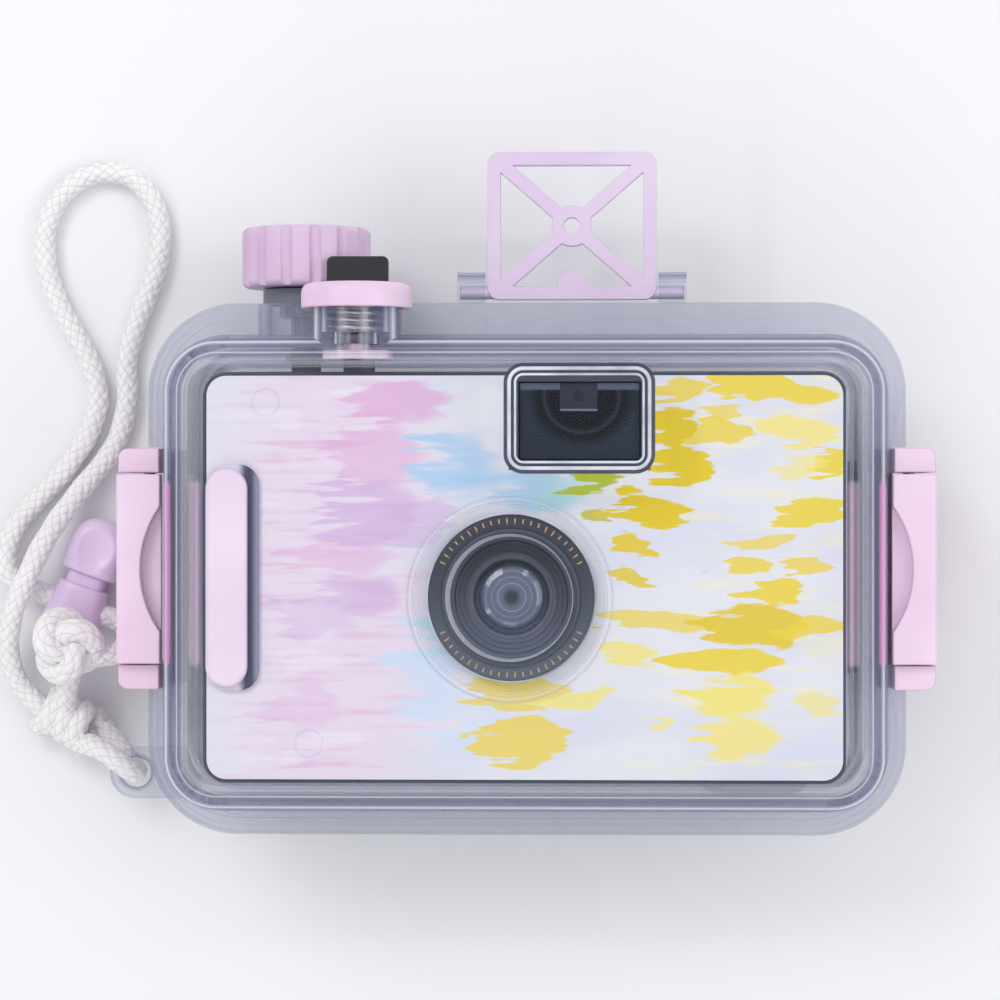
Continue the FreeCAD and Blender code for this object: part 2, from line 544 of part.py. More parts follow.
def make_front_shell():
    body = new_body("front_shell")
    seam, window = D.rear_depth, D.rear_depth + D.front_depth
    inside = window - D.case_wall
    raise_pad(body, case_outline, seam, D.front_depth)
    round_edges(body, D.front_round, level("Z", window))
    raise_pad(body, flange_outline, seam, D.flange_thick)
    post(body, -D.button_x, D.button_z, D.boss_radius, D.boss_top, D.boss_top - D.boss_root)
    raise_pad(body, rounded, inside, D.case_wall + D.bulge_rise, -D.bulge_left, D.bulge_right, D.bulge_low,
              D.bulge_top, D.bulge_corner)
    round_edges(body, D.bulge_round, level("Z", window + D.bulge_rise))
    raise_pad(body, circle, inside, D.case_wall + D.port_rise, -D.lens_x, -D.lens_y, D.port_radius)
    round_edges(body, D.port_round, level("Z", window + D.port_rise))
    add_locating_tabs(body, seam + D.flange_thick)
    cut_up(body, case_outline, seam, D.front_depth - D.case_wall, D.case_wall)
    round_edges(body, D.inner_round, level("Z", inside))
    cut_up(body, rounded, inside - D.case_wall, D.case_wall * 2 + D.bulge_rise - D.bulge_wall,
           D.bulge_wall - D.bulge_left, D.bulge_right - D.bulge_wall, D.bulge_low + D.bulge_wall,
           D.bulge_top - D.bulge_wall, D.bulge_corner - D.bulge_wall)
    cut_up(body, circle, inside - D.case_wall, D.case_wall * 2 + D.port_rise - D.port_wall, -D.lens_x,
           -D.lens_y, D.port_radius - D.port_wall)
    well(body, -D.button_x, D.button_z, D.boss_cup, D.boss_top, D.boss_top - D.boss_floor)
    well(body, -D.button_x, D.button_z, D.stem_radius + D.run_gap, D.boss_floor,
         D.boss_floor - D.boss_root)
    well(body, -D.button_x, D.button_z, D.stem_radius + D.seal_wire * 2 + D.run_gap, D.boss_floor,
         D.seal_wire * 2)
    cut_down(body, between, seam + D.flange_thick, D.channel_deep, flange_outline, D.channel_in,
             D.channel_in + D.channel_wide)
    cut_ear_notches(body, seam + D.flange_thick)
    cut_down(body, rectangle, seam + D.flange_thick, D.guard_thick, -D.guard_x - D.guard_wide / 2,
             D.guard_wide / 2 - D.guard_x, D.guard_low, D.flange_rise + 1)


def add_locating_tabs(body, height):
    """Four small square tabs on the flange beside the box, two above and two below."""
    half = D.tab_wide / 2
    for middle in (-D.tab_x, D.tab_x):
        for low, high in ((D.case_top - half, D.case_top + half), (-D.case_low - half, half - D.case_low)):
            raise_pad(body, rectangle, height, D.tab_tall, middle - half, middle + half, low, high)


def make_case_gasket():
    body = new_body("case_gasket")
    raise_pad(body, between, D.rear_depth - D.gasket_deep, D.gasket_deep, case_outline,
              D.gasket_in - D.gasket_wide, D.gasket_in)


def make_button_guard():
    body = new_body("button_guard")
    raise_pad(body, rounded, D.rear_depth + D.flange_thick - D.guard_thick, D.guard_thick,
              -D.guard_x - D.guard_wide / 2, D.guard_wide / 2 - D.guard_x, D.guard_low, D.guard_top,
              D.guard_round)


# Latches: the right one is drawn, the left one is its mirror image.

def make_latches():
    for name, make in (("latch_bracket", make_bracket), ("latch_lever", make_lever),
                       ("latch_pin", make_latch_pin)):
        body = new_body(name + "_right")
        make(body)
        mirrored(name + "_left", body)


def make_bracket(body):
    """A strip on the case's side wall with two ears that stand in the flange notches."""
    strip_front = D.rear_depth - D.flange_thick - D.fit_gap
    pad(body, rectangle(new_sketch(body, "XZ_Plane", -D.latch_half), D.case_half, D.case_half + D.latch_seat,
                        D.ear_low, strip_front), D.latch_half * 2)
    for top in (D.latch_half, D.ear_long - D.latch_half):
        pad(body, rectangle(new_sketch(body, "XZ_Plane", -top), D.ear_inner, D.ear_outer, D.ear_low,
                            D.ear_high), D.ear_long)
    outer = D.ear_outer.value
    round_edges(body, D.ear_round,
                lambda edge: edge.BoundBox.XMin > outer - 0.01 and edge.BoundBox.ZLength > 1
                and abs(edge.BoundBox.YMin) > D.latch_half.value - 0.01)
    well(body, D.pivot_x, D.pivot_z, D.pivot_radius + D.run_gap / 2, D.latch_half, D.latch_half * 2)
    middle = D.case_half + D.latch_seat / 2
    cut_down(body, rectangle, strip_front, D.peg_hole_deep, middle - D.peg_hole_wide / 2,
             middle + D.peg_hole_wide / 2, -D.peg_hole_tall / 2, D.peg_hole_tall / 2)


def make_lever(body):
    """An L-shaped lever whose lip grips both flanges, with a thumb scoop in the lip."""
    half = D.latch_half - D.ear_long - D.side_gap
    grip = D.rear_depth + D.flange_thick + D.lip_gap
    outline = [(D.lever_inner, D.lever_tail), (D.lever_outer, D.lever_tail), (D.lever_outer, D.lever_front),
               (D.lever_lip, D.lever_front), (D.lever_lip, grip), (D.lever_inner, grip)]
    pad(body, polygon(new_sketch(body, "XZ_Plane", -half), outline), half * 2)
    outer, front, tail = D.lever_outer.value, D.lever_front.value, D.lever_tail.value
    round_edges(body, D.tail_round, level("Z", tail, lambda box: box.XMin > outer - 0.01))
    round_edges(body, D.lever_round, level("Z", front, lambda box: box.XMin > outer - 0.01))
    hollow = rectangle(new_sketch(body, "YZ_Plane", D.lever_inner), D.lever_skin - half, half - D.lever_skin,
                       D.pivot_z + D.pivot_radius + D.lever_skin, grip - D.lever_skin)
    pocket(body, hollow, D.lever_outer - D.lever_inner - D.lever_skin, reverse=True)
    well(body, D.pivot_x, D.pivot_z, D.pivot_radius + D.run_gap, half, half * 2)
    scoop = D.scoop_chord * D.scoop_chord / (D.scoop_depth * 8) + D.scoop_depth / 2
    cut_down(body, circle, D.lever_front, D.scoop_down, D.lever_lip + D.scoop_depth - scoop, 0, scoop)


def make_latch_pin(body):
    reach = D.latch_half - D.fit_gap
    post(body, D.pivot_x, D.pivot_z, D.pivot_radius, reach, reach * 2)


# Sight frame.

def make_sight_frame():
    body = new_body("sight_frame")
    back, front = D.sight_pin_z - D.sight_thick / 2, D.sight_pin_z + D.sight_thick / 2
    raise_pad(body, rounded, back, D.sight_thick, -D.sight_half, D.sight_half, D.sight_low, D.sight_top,
              D.sight_corner)
    cut_down(body, rectangle, front, D.sight_thick, D.sight_bar - D.sight_half, D.sight_half - D.sight_bar,
             D.sight_low + D.sight_bar, D.sight_top - D.sight_bar)
    middle = (D.sight_low + D.sight_top) / 2
    rise = D.sight_top - D.sight_low
    slope = math.atan2(rise.value, D.sight_half.value * 2)
    reach = Size(math.hypot(D.sight_half.value, rise.value / 2) - D.sight_bar.value,
                 f"(hypot({D.sight_half.text}; {(rise / 2).text}) - {D.sight_bar.text})")
    for sign in (-1, 1):
        turn = Size(sign * math.degrees(slope), f"{sign} * atan2({rise.text}; {(D.sight_half * 2).text})")
        arm = new_sketch(body, "XY_Plane", back, shift=(0, middle), turn=turn)
        pad(body, rectangle(arm, -reach, reach, -D.sight_arm / 2, D.sight_arm / 2), D.sight_thick)
    raise_pad(body, circle, back, D.sight_thick, 0, middle, D.sight_ring)
    raise_pad(body, circle, back, D.sight_thick, 0, D.sight_low + D.sight_tab, D.sight_tab)
    cut_down(body, circle, front, D.sight_thick, 0, middle, D.sight_hole)
    pin = circle(new_sketch(body, "YZ_Plane", -D.pin_reach), D.sight_pin_y, D.sight_pin_z, D.sight_pin)
    pad(body, pin, D.pin_reach * 2)
    place(body, D.sight_x)


# Shutter button.

def make_shutter_button():
    inside = D.cap_top - D.cap_skin
    cap = turned("shutter_cap", "XY_Plane", [
        (0, D.cap_top), (D.cap_radius, D.cap_top), (D.cap_radius, D.cap_low),
        (D.cap_radius - D.cap_skin, D.cap_low), (D.cap_radius - D.cap_skin, inside), (0, inside)])
    round_edges(cap, D.cap_round, level("Y", D.cap_top))
    stem = turned("shutter_stem", "XY_Plane", [
        (0, inside), (D.stem_radius, inside), (D.stem_radius, D.foot_top), (D.stem_radius / 2, D.foot_top),
        (D.stem_radius / 2, D.foot_low), (0, D.foot_low)])
    seal = torus("shutter_seal", D.stem_radius + D.seal_gap + D.seal_wire, D.seal_wire,
                 D.boss_floor - D.seal_wire)
    for piece in (cap, stem, seal):
        bind(piece, "Placement.Base.x", -D.button_x)
        bind(piece, "Placement.Base.z", D.button_z)
    foot = new_body("stem_foot")
    half = D.foot_wide / 2
    outline = rounded(new_sketch(foot, "XZ_Plane", -D.foot_top), -D.button_x - half, half - D.button_x,
                      D.button_z - D.foot_reach, D.button_z + D.foot_rise, D.foot_corner)
    pad(foot, outline, D.foot_top - D.foot_low)
    well(foot, -D.button_x, D.button_z, D.stem_radius / 2, D.foot_top, D.foot_top - D.foot_low)
    doc.recompute()
    spring = coil_spring("shutter_spring", D.spring_radius.value, D.spring_wire.value,
                         D.spring_turns.value, (inside - D.boss_floor - D.spring_wire * 2).value)
    stand_up(formed("shutter_spring", spring), -D.button_x, D.boss_floor + D.spring_wire, D.button_z)


def torus(label, radius, wire, height):
    """A seal ring round the Y axis at one height."""
    ring = doc.addObject("Part::Torus", label)
    ring.Label = label
    pieces[label] = ring
    bind(ring, "Radius1", radius)
    bind(ring, "Radius2", wire)
    stand_up(ring, 0, height, 0)
    return ring


def stand_up(thing, x, y, z):
    """Turn a piece drawn along Z so that it runs along Y, and place it."""
    thing.Placement = FreeCAD.Placement(Vector(), FreeCAD.Rotation(Vector(1, 0, 0), -90))
    place(thing, x, y, z)


# Winding knob and what it turns.

def make_winding_train():
    knob = turned("wind_knob", "XY_Plane", [
        (D.wind_shaft, D.knob_low), (D.knob_radius, D.knob_low), (D.knob_radius, D.knob_top),
        (D.knob_dish, D.knob_top), (D.knob_dish, D.knob_top - D.dish_deep),
        (D.screw_shank, D.knob_top - D.dish_deep), (D.screw_shank, D.shaft_top), (D.wind_shaft, D.shaft_top)])
    rim = D.knob_radius.value
    round_edges(knob, D.knob_round, lambda edge: edge.BoundBox.XMax > rim - 0.01
                and edge.BoundBox.YLength < 0.01)
    flute(knob, D.knob_radius - D.flute_bite + D.flute_radius, D.flute_radius, D.knob_low,
          D.knob_top - D.knob_low, D.knob_flutes)
    collar = turned("wind_collar", "XY_Plane", [
        (D.wind_shaft + D.run_gap, D.wind_boss_top), (D.collar_radius, D.wind_boss_top),
        (D.collar_radius, D.collar_top), (D.wind_shaft + D.run_gap, D.collar_top)])
    shoulder = D.case_top - D.case_wall - D.fit_gap
    tongue_top = D.advance_top + D.fit_gap
    shaft = turned("wind_shaft", "XY_Plane", [
        (0, tongue_top), (D.wind_shaft, tongue_top), (D.wind_shaft, shoulder - D.shoulder_thick),
        (D.wind_shaft + D.shoulder_thick, shoulder - D.shoulder_thick),
        (D.wind_shaft + D.shoulder_thick, shoulder), (D.wind_shaft, shoulder), (D.wind_shaft, D.shaft_top),
        (D.screw_shank, D.shaft_top), (D.screw_shank, D.knob_low), (0, D.knob_low)])
    tongue = rectangle(new_sketch(shaft, "XZ_Plane", -tongue_top), -D.tongue_half, D.tongue_half,
                       -D.tongue_thin / 2, D.tongue_thin / 2)
    pad(shaft, tongue, D.tongue_deep)
    screw_top = D.knob_top - D.dish_deep + D.screw_rise
    screw = turned("wind_screw", "XY_Plane", [
        (0, D.knob_low), (D.screw_shank, D.knob_low), (D.screw_shank, D.knob_top - D.dish_deep),
        (D.screw_head, D.knob_top - D.dish_deep), (D.screw_head, screw_top), (0, screw_top)])
    slot = rectangle(new_sketch(screw, "XZ_Plane", -screw_top), -D.screw_head - 1, D.screw_head + 1,
                     -D.screw_slot / 2, D.screw_slot / 2)
    pocket(screw, slot, D.screw_slot, reverse=True)
    seal = torus("wind_seal", D.wind_shaft + D.seal_gap + D.seal_wire, D.seal_wire,
                 D.wind_boss_top - D.gland_deep + D.seal_wire)
    for piece in (knob, collar, shaft, screw, seal, make_advance_wheel(), make_take_up_spool()):
        bind(piece, "Placement.Base.x", -D.wind_x)
        bind(piece, "Placement.Base.z", D.wind_z)


def flute(body, reach, radius, low, tall, count):
    """Round flutes along Y, spread round the rim of a turned piece."""
    sketch = circle(new_sketch(body, "XZ_Plane", -low), reach, 0, radius)
    spread(body, pocket(body, sketch, tall), sketch, count)


def spread(body, feature, sketch, count):
    """Repeat a feature round the axis that stands on its sketch's origin."""
    pattern = body.newObject("PartDesign::PolarPattern", feature.Name + "_pattern")
    pattern.Originals = [feature]
    pattern.Axis = (sketch, ["N_Axis"])
    pattern.Angle = 360
    bind(pattern, "Occurrences", count)
    body.Tip = pattern


def make_advance_wheel():
    """The camera's own thumb wheel, slotted on top for the tongue of the knob's shaft."""
    wheel = turned("advance_wheel", "XY_Plane", [
        (0, D.advance_low), (D.advance_radius, D.advance_low), (D.advance_radius, D.advance_top),
        (0, D.advance_top)])
    notch = polygon(new_sketch(wheel, "XZ_Plane", -D.advance_low), [
        (D.advance_radius - D.tooth_deep, 0), (D.advance_radius + 1, D.tooth_deep + 1),
        (D.advance_radius + 1, -D.tooth_deep - 1)])
    spread(wheel, pocket(wheel, notch, D.advance_top - D.advance_low), notch, D.advance_teeth)
    slot = rectangle(new_sketch(wheel, "XZ_Plane", -D.advance_top), -D.tongue_half - D.fit_gap,
                     D.tongue_half + D.fit_gap, -D.tongue_thin / 2 - D.fit_gap,
                     D.tongue_thin / 2 + D.fit_gap)
    pocket(wheel, slot, D.tongue_deep, reverse=True)
    return wheel


def make_take_up_spool():
    top, low = D.advance_low, -D.cartridge_low
    return turned("take_up_spool", "XY_Plane", [
        (0, low), (D.take_up_rim, low), (D.take_up_rim, low + D.spool_flange),
        (D.take_up_core, low + D.spool_flange), (D.take_up_core, D.deck - D.spool_flange * 2),
        (D.take_up_rim, D.deck - D.spool_flange * 2), (D.take_up_rim, D.deck - D.spool_flange),
        (D.take_up_core, D.deck - D.spool_flange), (D.take_up_core, top), (0, top)])


# Inner camera.

def camera_outline(sketch, inset=0):
    return rounded(sketch, inset - D.cam_half, D.cam_half - inset, inset - D.cam_low, D.cam_top - inset,
                   D.cam_corner - inset)


def make_front_cover():
    body = new_body("front_cover")
    raise_pad(body, camera_outline, D.cover_back, D.cover_front - D.cover_back)
    round_edges(body, D.cam_round, level("Z", D.cover_front))
    raise_pad(body, rectangle, D.cover_front - D.cam_wall, D.cam_wall + D.print_thick,
              -D.surround - D.window_left, D.window_right + D.surround, D.window_low - D.surround,
              D.print_top)
    cut_up(body, camera_outline, D.cover_back, D.cover_front - D.cover_back - D.cam_wall, D.cam_wall)
    cut_down(body, circle, D.cover_front, D.cam_wall + 1, -D.lens_x, -D.lens_y, D.bezel_neck)
    cut_down(body, rectangle, D.cover_front + D.print_thick, D.print_thick + D.cam_wall,
             -D.window_left, D.window_right, D.window_low, D.window_top)
    well(body, -D.button_x, D.release_z, D.release_radius + D.run_gap, D.cam_top, D.cam_wall)
    well(body, -D.wind_x, D.wind_z, D.wind_shaft + D.fit_gap, D.cam_top, D.cam_wall)
    well(body, D.spool_x, D.cartridge_z, D.rewind_shaft + D.run_gap, -D.cam_low + D.cam_wall, D.cam_wall)
    add_knuckle(body, D.knuckle_long / 2 - D.fit_gap, D.knuckle_long - D.fit_gap * 2, D.cover_back,
                D.hinge_radius * 2)


def add_knuckle(body, top, tall, web_back, web_deep):
    """A hinge knuckle at the right side with a web to the wall beside it."""
    post(body, D.hinge_x, D.cover_back, D.hinge_radius, top, tall)
    web = rectangle(new_sketch(body, "XZ_Plane", -top), D.cam_half - D.cam_wall / 2, D.hinge_x,
                    web_back, web_back + web_deep)
    pad(body, web, tall)
    well(body, D.hinge_x, D.cover_back, D.hinge_pin + D.run_gap, top, tall)


def make_film_door():
    body = new_body("film_door")
    raise_pad(body, camera_outline, D.cam_back, D.door_thick)
    round_edges(body, D.cam_round, level("Z", D.cam_back))
    inner = D.cam_back + D.door_thick
    room = D.advance_radius + D.door_gap
    cut_down(body, rectangle, inner, D.door_thick, -D.wind_x - room, room - D.wind_x,
             D.advance_low - D.door_gap, D.advance_top + D.door_gap)
    cut_down(body, rectangle, inner, D.door_thick, D.eye_left, D.eye_right, D.eye_low, D.eye_top)
    cut_down(body, rounded, inner, D.plate_well, -D.lens_x - D.plate_half_x - D.door_gap,
             D.plate_half_x + D.door_gap - D.lens_x, -D.lens_y - D.plate_half_y - D.door_gap,
             D.plate_half_y + D.door_gap - D.lens_y, D.print_corner)
    for top in (D.knuckle_long * 3 / 2, -D.knuckle_long / 2):
        add_knuckle(body, top, D.knuckle_long, D.cam_back + D.cam_round, D.door_thick - D.cam_round)


def make_door_parts():
    pin = new_body("door_hinge_pin")
    post(pin, D.hinge_x, D.cover_back, D.hinge_pin, D.knuckle_long * 3 / 2, D.knuckle_long * 3)
    plate = new_body("pressure_plate")
    inner = D.cam_back + D.door_thick
    raise_pad(plate, rounded, inner - D.plate_thick, D.plate_thick, -D.lens_x - D.plate_half_x,
              D.plate_half_x - D.lens_x, -D.lens_y - D.plate_half_y, D.plate_half_y - D.lens_y,
              D.print_corner)
    spring = new_body("pressure_spring")
    floor, top = inner - D.plate_well, inner - D.plate_thick
    leaf = polygon(new_sketch(spring, "XZ_Plane", D.lens_y - D.leaf_wide / 2), [
        (-D.leaf_long, floor), (-D.leaf_foot, floor), (0, top - D.leaf_thin), (D.leaf_foot, floor),
        (D.leaf_long, floor), (D.leaf_long, floor + D.leaf_thin), (D.leaf_foot, floor + D.leaf_thin),
        (0, top), (-D.leaf_foot, floor + D.leaf_thin), (-D.leaf_long, floor + D.leaf_thin)])
    pad(spring, leaf, D.leaf_wide)
    place(spring, -D.lens_x)


def make_chassis():
    body = new_body("chassis")
    inset = D.cam_wall + D.chassis_gap
    top_plane = D.cover_front - D.cam_wall - D.fit_gap
    raise_pad(body, rounded, D.chassis_back, top_plane - D.chassis_back, inset - D.cam_half,
              D.cam_half - inset, inset - D.cam_low, D.deck, D.cam_corner - D.cam_wall)
    well(body, -D.wind_x, D.wind_z, D.take_up_room, D.deck, D.deck + D.cartridge_low + D.fit_gap)
    well(body, D.spool_x, D.cartridge_z, D.cartridge_radius, D.cartridge_top,
         D.cartridge_top + D.cartridge_low)
    well(body, D.spool_x, D.cartridge_z, D.rewind_shaft + D.fit_gap, -D.cartridge_low,
         D.cam_low - D.cartridge_low)
    well(body, -D.sprocket_x, D.sprocket_z, D.sprocket_room, D.gate_y - D.lens_y + D.sprocket_end,
         (D.gate_y + D.sprocket_end) * 2)
    cut_up(body, rectangle, D.chassis_back, D.cartridge_z - D.chassis_back,
           D.spool_x - D.cartridge_radius, D.cam_half, -D.cartridge_low, D.cartridge_top)
    cut_up(body, rectangle, D.chassis_back, D.take_up_room * 2, -D.wind_x - D.take_up_core,
           D.take_up_core - D.wind_x, -D.cartridge_low, D.deck)
    cut_up(body, rectangle, D.chassis_back, D.tunnel_end - D.chassis_back, -D.lens_x - D.gate_x,
           D.gate_x - D.lens_x, -D.lens_y - D.gate_y, D.gate_y - D.lens_y)
    cut_down(body, circle, top_plane, top_plane - D.barrel_seat + D.fit_gap, -D.lens_x, -D.lens_y,
             D.lens_well)
    cut_down(body, circle, D.barrel_seat, D.barrel_seat - D.well_floor, -D.lens_x, -D.lens_y,
             D.shutter_well)
    cut_down(body, circle, D.well_floor, D.case_wall, -D.lens_x, -D.lens_y, D.stop_radius)
    cut_down(body, rectangle, top_plane, top_plane - D.chassis_back, -D.surround - D.window_left,
             D.window_right, D.window_low, D.deck + 1)


def make_finder():
    body = new_body("finder_tunnel")
    front, rear = D.cover_front - D.cam_wall, D.chassis_back
    wall = D.tunnel_wall
    sections = []
    for grow in (0, -wall):
        wide = rectangle(new_sketch(body, "XY_Plane", front), D.tunnel_in - D.window_left - grow,
                         D.window_right - D.tunnel_in + grow, D.window_low + D.tunnel_in - grow,
                         D.window_top - D.tunnel_in + grow)
        narrow = rectangle(new_sketch(body, "XY_Plane", rear), D.eye_left - wall - grow,
                           D.eye_right + wall + grow, D.eye_low - wall - grow, D.eye_top + wall + grow)
        sections.append((wide, narrow))
    for kind, (wide, narrow) in zip(("AdditiveLoft", "SubtractiveLoft"), sections):
        loft = body.newObject(f"PartDesign::{kind}", f"finder_{kind}")
        loft.Profile = wide
        loft.Sections = [narrow]
    lens = new_body("finder_front_lens")
    raise_pad(lens, rectangle, front, D.window_thick, D.fit_gap - D.window_left, D.window_right - D.fit_gap,
              D.window_low + D.fit_gap, D.window_top - D.fit_gap)
    eye = new_body("finder_rear_lens")
    raise_pad(eye, rectangle, D.cam_back + D.eye_recess, D.eye_thick, D.eye_left + D.seal_gap,
              D.eye_right - D.seal_gap, D.eye_low + D.seal_gap, D.eye_top - D.seal_gap)


def make_print_and_grip():
    body = new_body("print_panel")
    raise_pad(body, rounded, D.cover_front, D.print_thick, -D.print_half, D.print_half, -D.print_low,
              D.print_top, D.print_corner)
    top = D.cover_front + D.print_thick
    cut_down(body, circle, top, D.print_thick, -D.lens_x, -D.lens_y, D.bezel_radius + D.fit_gap)
    cut_down(body, rectangle, top, D.print_thick, -D.surround - D.window_left, D.window_right + D.surround,
             D.window_low - D.surround, D.print_top + 1)
    half, long = D.grip_half, D.grip_long / 2
    trim = new_body("grip_trim")
    raise_pad(trim, rounded, top, D.trim_thick, D.trim_shift - D.grip_x - half - D.trim_more,
              D.trim_shift - D.grip_x + half + D.trim_more, -D.grip_y - long - D.trim_more,
              long - D.grip_y + D.trim_more, half)
    bar = new_body("grip_bar")
    raise_pad(bar, rounded, top + D.trim_thick, D.grip_thick, -D.grip_x - half, half - D.grip_x,
              -D.grip_y - long, long - D.grip_y, half - 0.1)
    round_edges(bar, D.grip_round, level("Z", top + D.trim_thick + D.grip_thick))


def make_lens():
    mouth = D.cover_front - D.cam_wall
    collar = D.bezel_neck - D.bezel_bore
    bezel = turned("lens_bezel", "XZ_Plane", [
        (D.bezel_bore, mouth), (D.bezel_neck, mouth), (D.bezel_neck, D.cover_front),
        (D.bezel_radius, D.cover_front), (D.bezel_radius, D.bezel_front - collar / 2),
        (D.bezel_radius - collar / 2, D.bezel_front), (D.bezel_bore, D.bezel_front)])
    ring = turned("lens_ring", "XZ_Plane", [
        (D.ring_bore, D.ring_back), (D.bezel_bore, D.ring_back), (D.bezel_bore, D.ring_front),
        (D.bezel_bore - collar / 2, D.ring_front), (D.ring_bore, D.ring_front - collar)])
    step = D.barrel_step
    barrel = turned("lens_barrel", "XZ_Plane", [
        (D.stop_radius, D.barrel_seat), (D.barrel_tube, D.barrel_seat), (D.barrel_tube, mouth),
        (D.bezel_bore, mouth), (D.bezel_bore, D.ring_back), (D.ring_bore - step, D.ring_back),
        (D.ring_bore - step * 2, D.ring_back - step), (D.glass_radius + step * 2, D.ring_back - step * 2),
        (D.glass_radius + step, D.glass_back + D.glass_edge + step), (D.glass_radius, D.glass_back + D.glass_edge),
        (D.glass_radius, D.glass_back), (D.stop_radius, D.glass_back)])
    stop = turned("aperture_plate", "XZ_Plane", [
        (D.stop_hole, D.glass_back - D.stop_thick), (D.stop_radius, D.glass_back - D.stop_thick),
        (D.stop_radius, D.glass_back), (D.stop_hole, D.glass_back)])
    front = make_glass("front_lens", D.glass_radius, D.glass_back, D.glass_edge, D.glass_crown)
    rear = make_glass("rear_lens", D.stop_radius, D.barrel_seat, D.glass_edge, D.glass_crown / 2)
    for piece in (bezel, ring, barrel, stop, front, rear):
        place(piece, -D.lens_x, -D.lens_y)
    make_shutter()


def make_glass(label, radius, back, edge, crown):
    """A plano-convex lens turned from a flat back, a rim and a crown of straight facets on one sphere."""
    ball = (radius * radius + crown * crown) / (crown * 2)
    corners = [(0, back), (radius, back), (radius, back + edge)]
    for share in (0.75, 0.5, 0.25):
        out = radius * share
        drop = Size(math.sqrt(ball.value ** 2 - out.value ** 2),
                    f"sqrt({ball.text} * {ball.text} - {out.text} * {out.text})")
        corners.append((out, back + edge + crown - ball + drop))
    corners.append((0, back + edge + crown))
    return turned(label, "XZ_Plane", corners)


def make_shutter():
    """The shutter's cover plate, its swinging blade and the pin that the blade turns on."""
    plate = turned("shutter_plate", "XZ_Plane", [
        (D.stop_radius, D.barrel_seat - D.plate_thick), (D.shutter_well, D.barrel_seat - D.plate_thick),
        (D.shutter_well, D.barrel_seat), (D.stop_radius, D.barrel_seat)])
    place(plate, -D.lens_x, -D.lens_y)
    blade = new_body("shutter_blade")
    level_z = D.well_floor + D.blade_thick
    raise_pad(blade, circle, level_z, D.blade_thick, 0, 0, D.blade_disc)
    raise_pad(blade, rectangle, level_z, D.blade_thick, 0, D.blade_arm, -D.blade_pin * 2, D.blade_pin * 2)
    raise_pad(blade, circle, level_z, D.blade_thick, D.blade_arm, 0, D.blade_pin * 2.5)
    cut_up(blade, circle, level_z, D.blade_thick, D.blade_arm, 0, D.blade_pin + D.run_gap)
    place(blade, -D.lens_x, -D.lens_y)
    pin = new_body("blade_pin")
    raise_pad(pin, circle, D.well_floor, D.barrel_seat - D.plate_thick - D.well_floor,
              D.blade_arm - D.lens_x, -D.lens_y, D.blade_pin)


def make_film_drive():
    """Sprocket, frame counter, release button and rewind knob, each on its own upright axis."""
    low, high = -D.gate_y - D.lens_y, D.gate_y - D.lens_y
    tip, teeth, core = D.sprocket_tip, D.spool_flange, D.blade_pin * 2
    bottom, top = low - D.sprocket_end + D.run_gap, high + D.sprocket_end - D.run_gap
    sprocket = turned("sprocket", "XY_Plane", [
        (0, bottom), (core, bottom), (core, low - teeth), (tip, low - teeth), (tip, low),
        (D.sprocket_radius, low), (D.sprocket_radius, high), (tip, high), (tip, high + teeth),
        (core, high + teeth), (core, top), (0, top)])
    notch = circle(new_sketch(sprocket, "XZ_Plane", -low + teeth), tip + D.blade_pin, 0, D.blade_pin * 2)
    spread(sprocket, pocket(sprocket, notch, high - low + teeth * 2), notch, D.sprocket_teeth)
    place(sprocket, -D.sprocket_x, 0, D.sprocket_z)
    dial = turned("counter_dial", "XY_Plane", [
        (0, D.deck), (D.blade_pin * 2, D.deck), (D.blade_pin * 2, D.dial_top - D.spool_flange),
        (D.dial_radius, D.dial_top - D.spool_flange), (D.dial_radius, D.dial_top), (0, D.dial_top)])
    place(dial, -D.dial_x, 0, D.dial_z)
    release = turned("release_button", "XY_Plane", [
        (0, D.release_low), (D.release_radius, D.release_low), (D.release_radius, D.release_low + D.spool_flange),
        (D.release_flange, D.release_low + D.spool_flange), (D.release_flange, D.release_low + D.spool_flange * 2),
        (D.release_radius, D.release_low + D.spool_flange * 2), (D.release_radius, D.foot_low), (0, D.foot_low)])
    place(release, -D.button_x, 0, D.release_z)
    knob_top = -D.cam_low - D.fit_gap
    knob = turned("rewind_knob", "XY_Plane", [
        (0, knob_top - D.rewind_thick), (D.rewind_radius, knob_top - D.rewind_thick),
        (D.rewind_radius, knob_top), (0, knob_top)])
    round_edges(knob, D.rewind_round, level("Y", knob_top - D.rewind_thick))
    crank = rectangle(new_sketch(knob, "XZ_Plane", -knob_top + D.rewind_thick), -D.rewind_radius - 1,
                      D.rewind_radius + 1, D.crank_half, D.crank_half + D.screw_slot)
    pocket(knob, crank, D.screw_slot)
    fork = turned("rewind_fork", "XY_Plane", [
        (0, knob_top), (D.rewind_shaft, knob_top), (D.rewind_shaft, knob_top + D.rewind_reach),
        (0, knob_top + D.rewind_reach)])
    slot = rectangle(new_sketch(fork, "XZ_Plane", -knob_top - D.rewind_reach), -D.rewind_shaft - 1,
                     D.rewind_shaft + 1, -D.screw_slot, D.screw_slot)
    pocket(fork, slot, D.rewind_reach / 3, reverse=True)
    for piece in (knob, fork):
        place(piece, D.spool_x, 0, D.cartridge_z)


# Wrist strap.

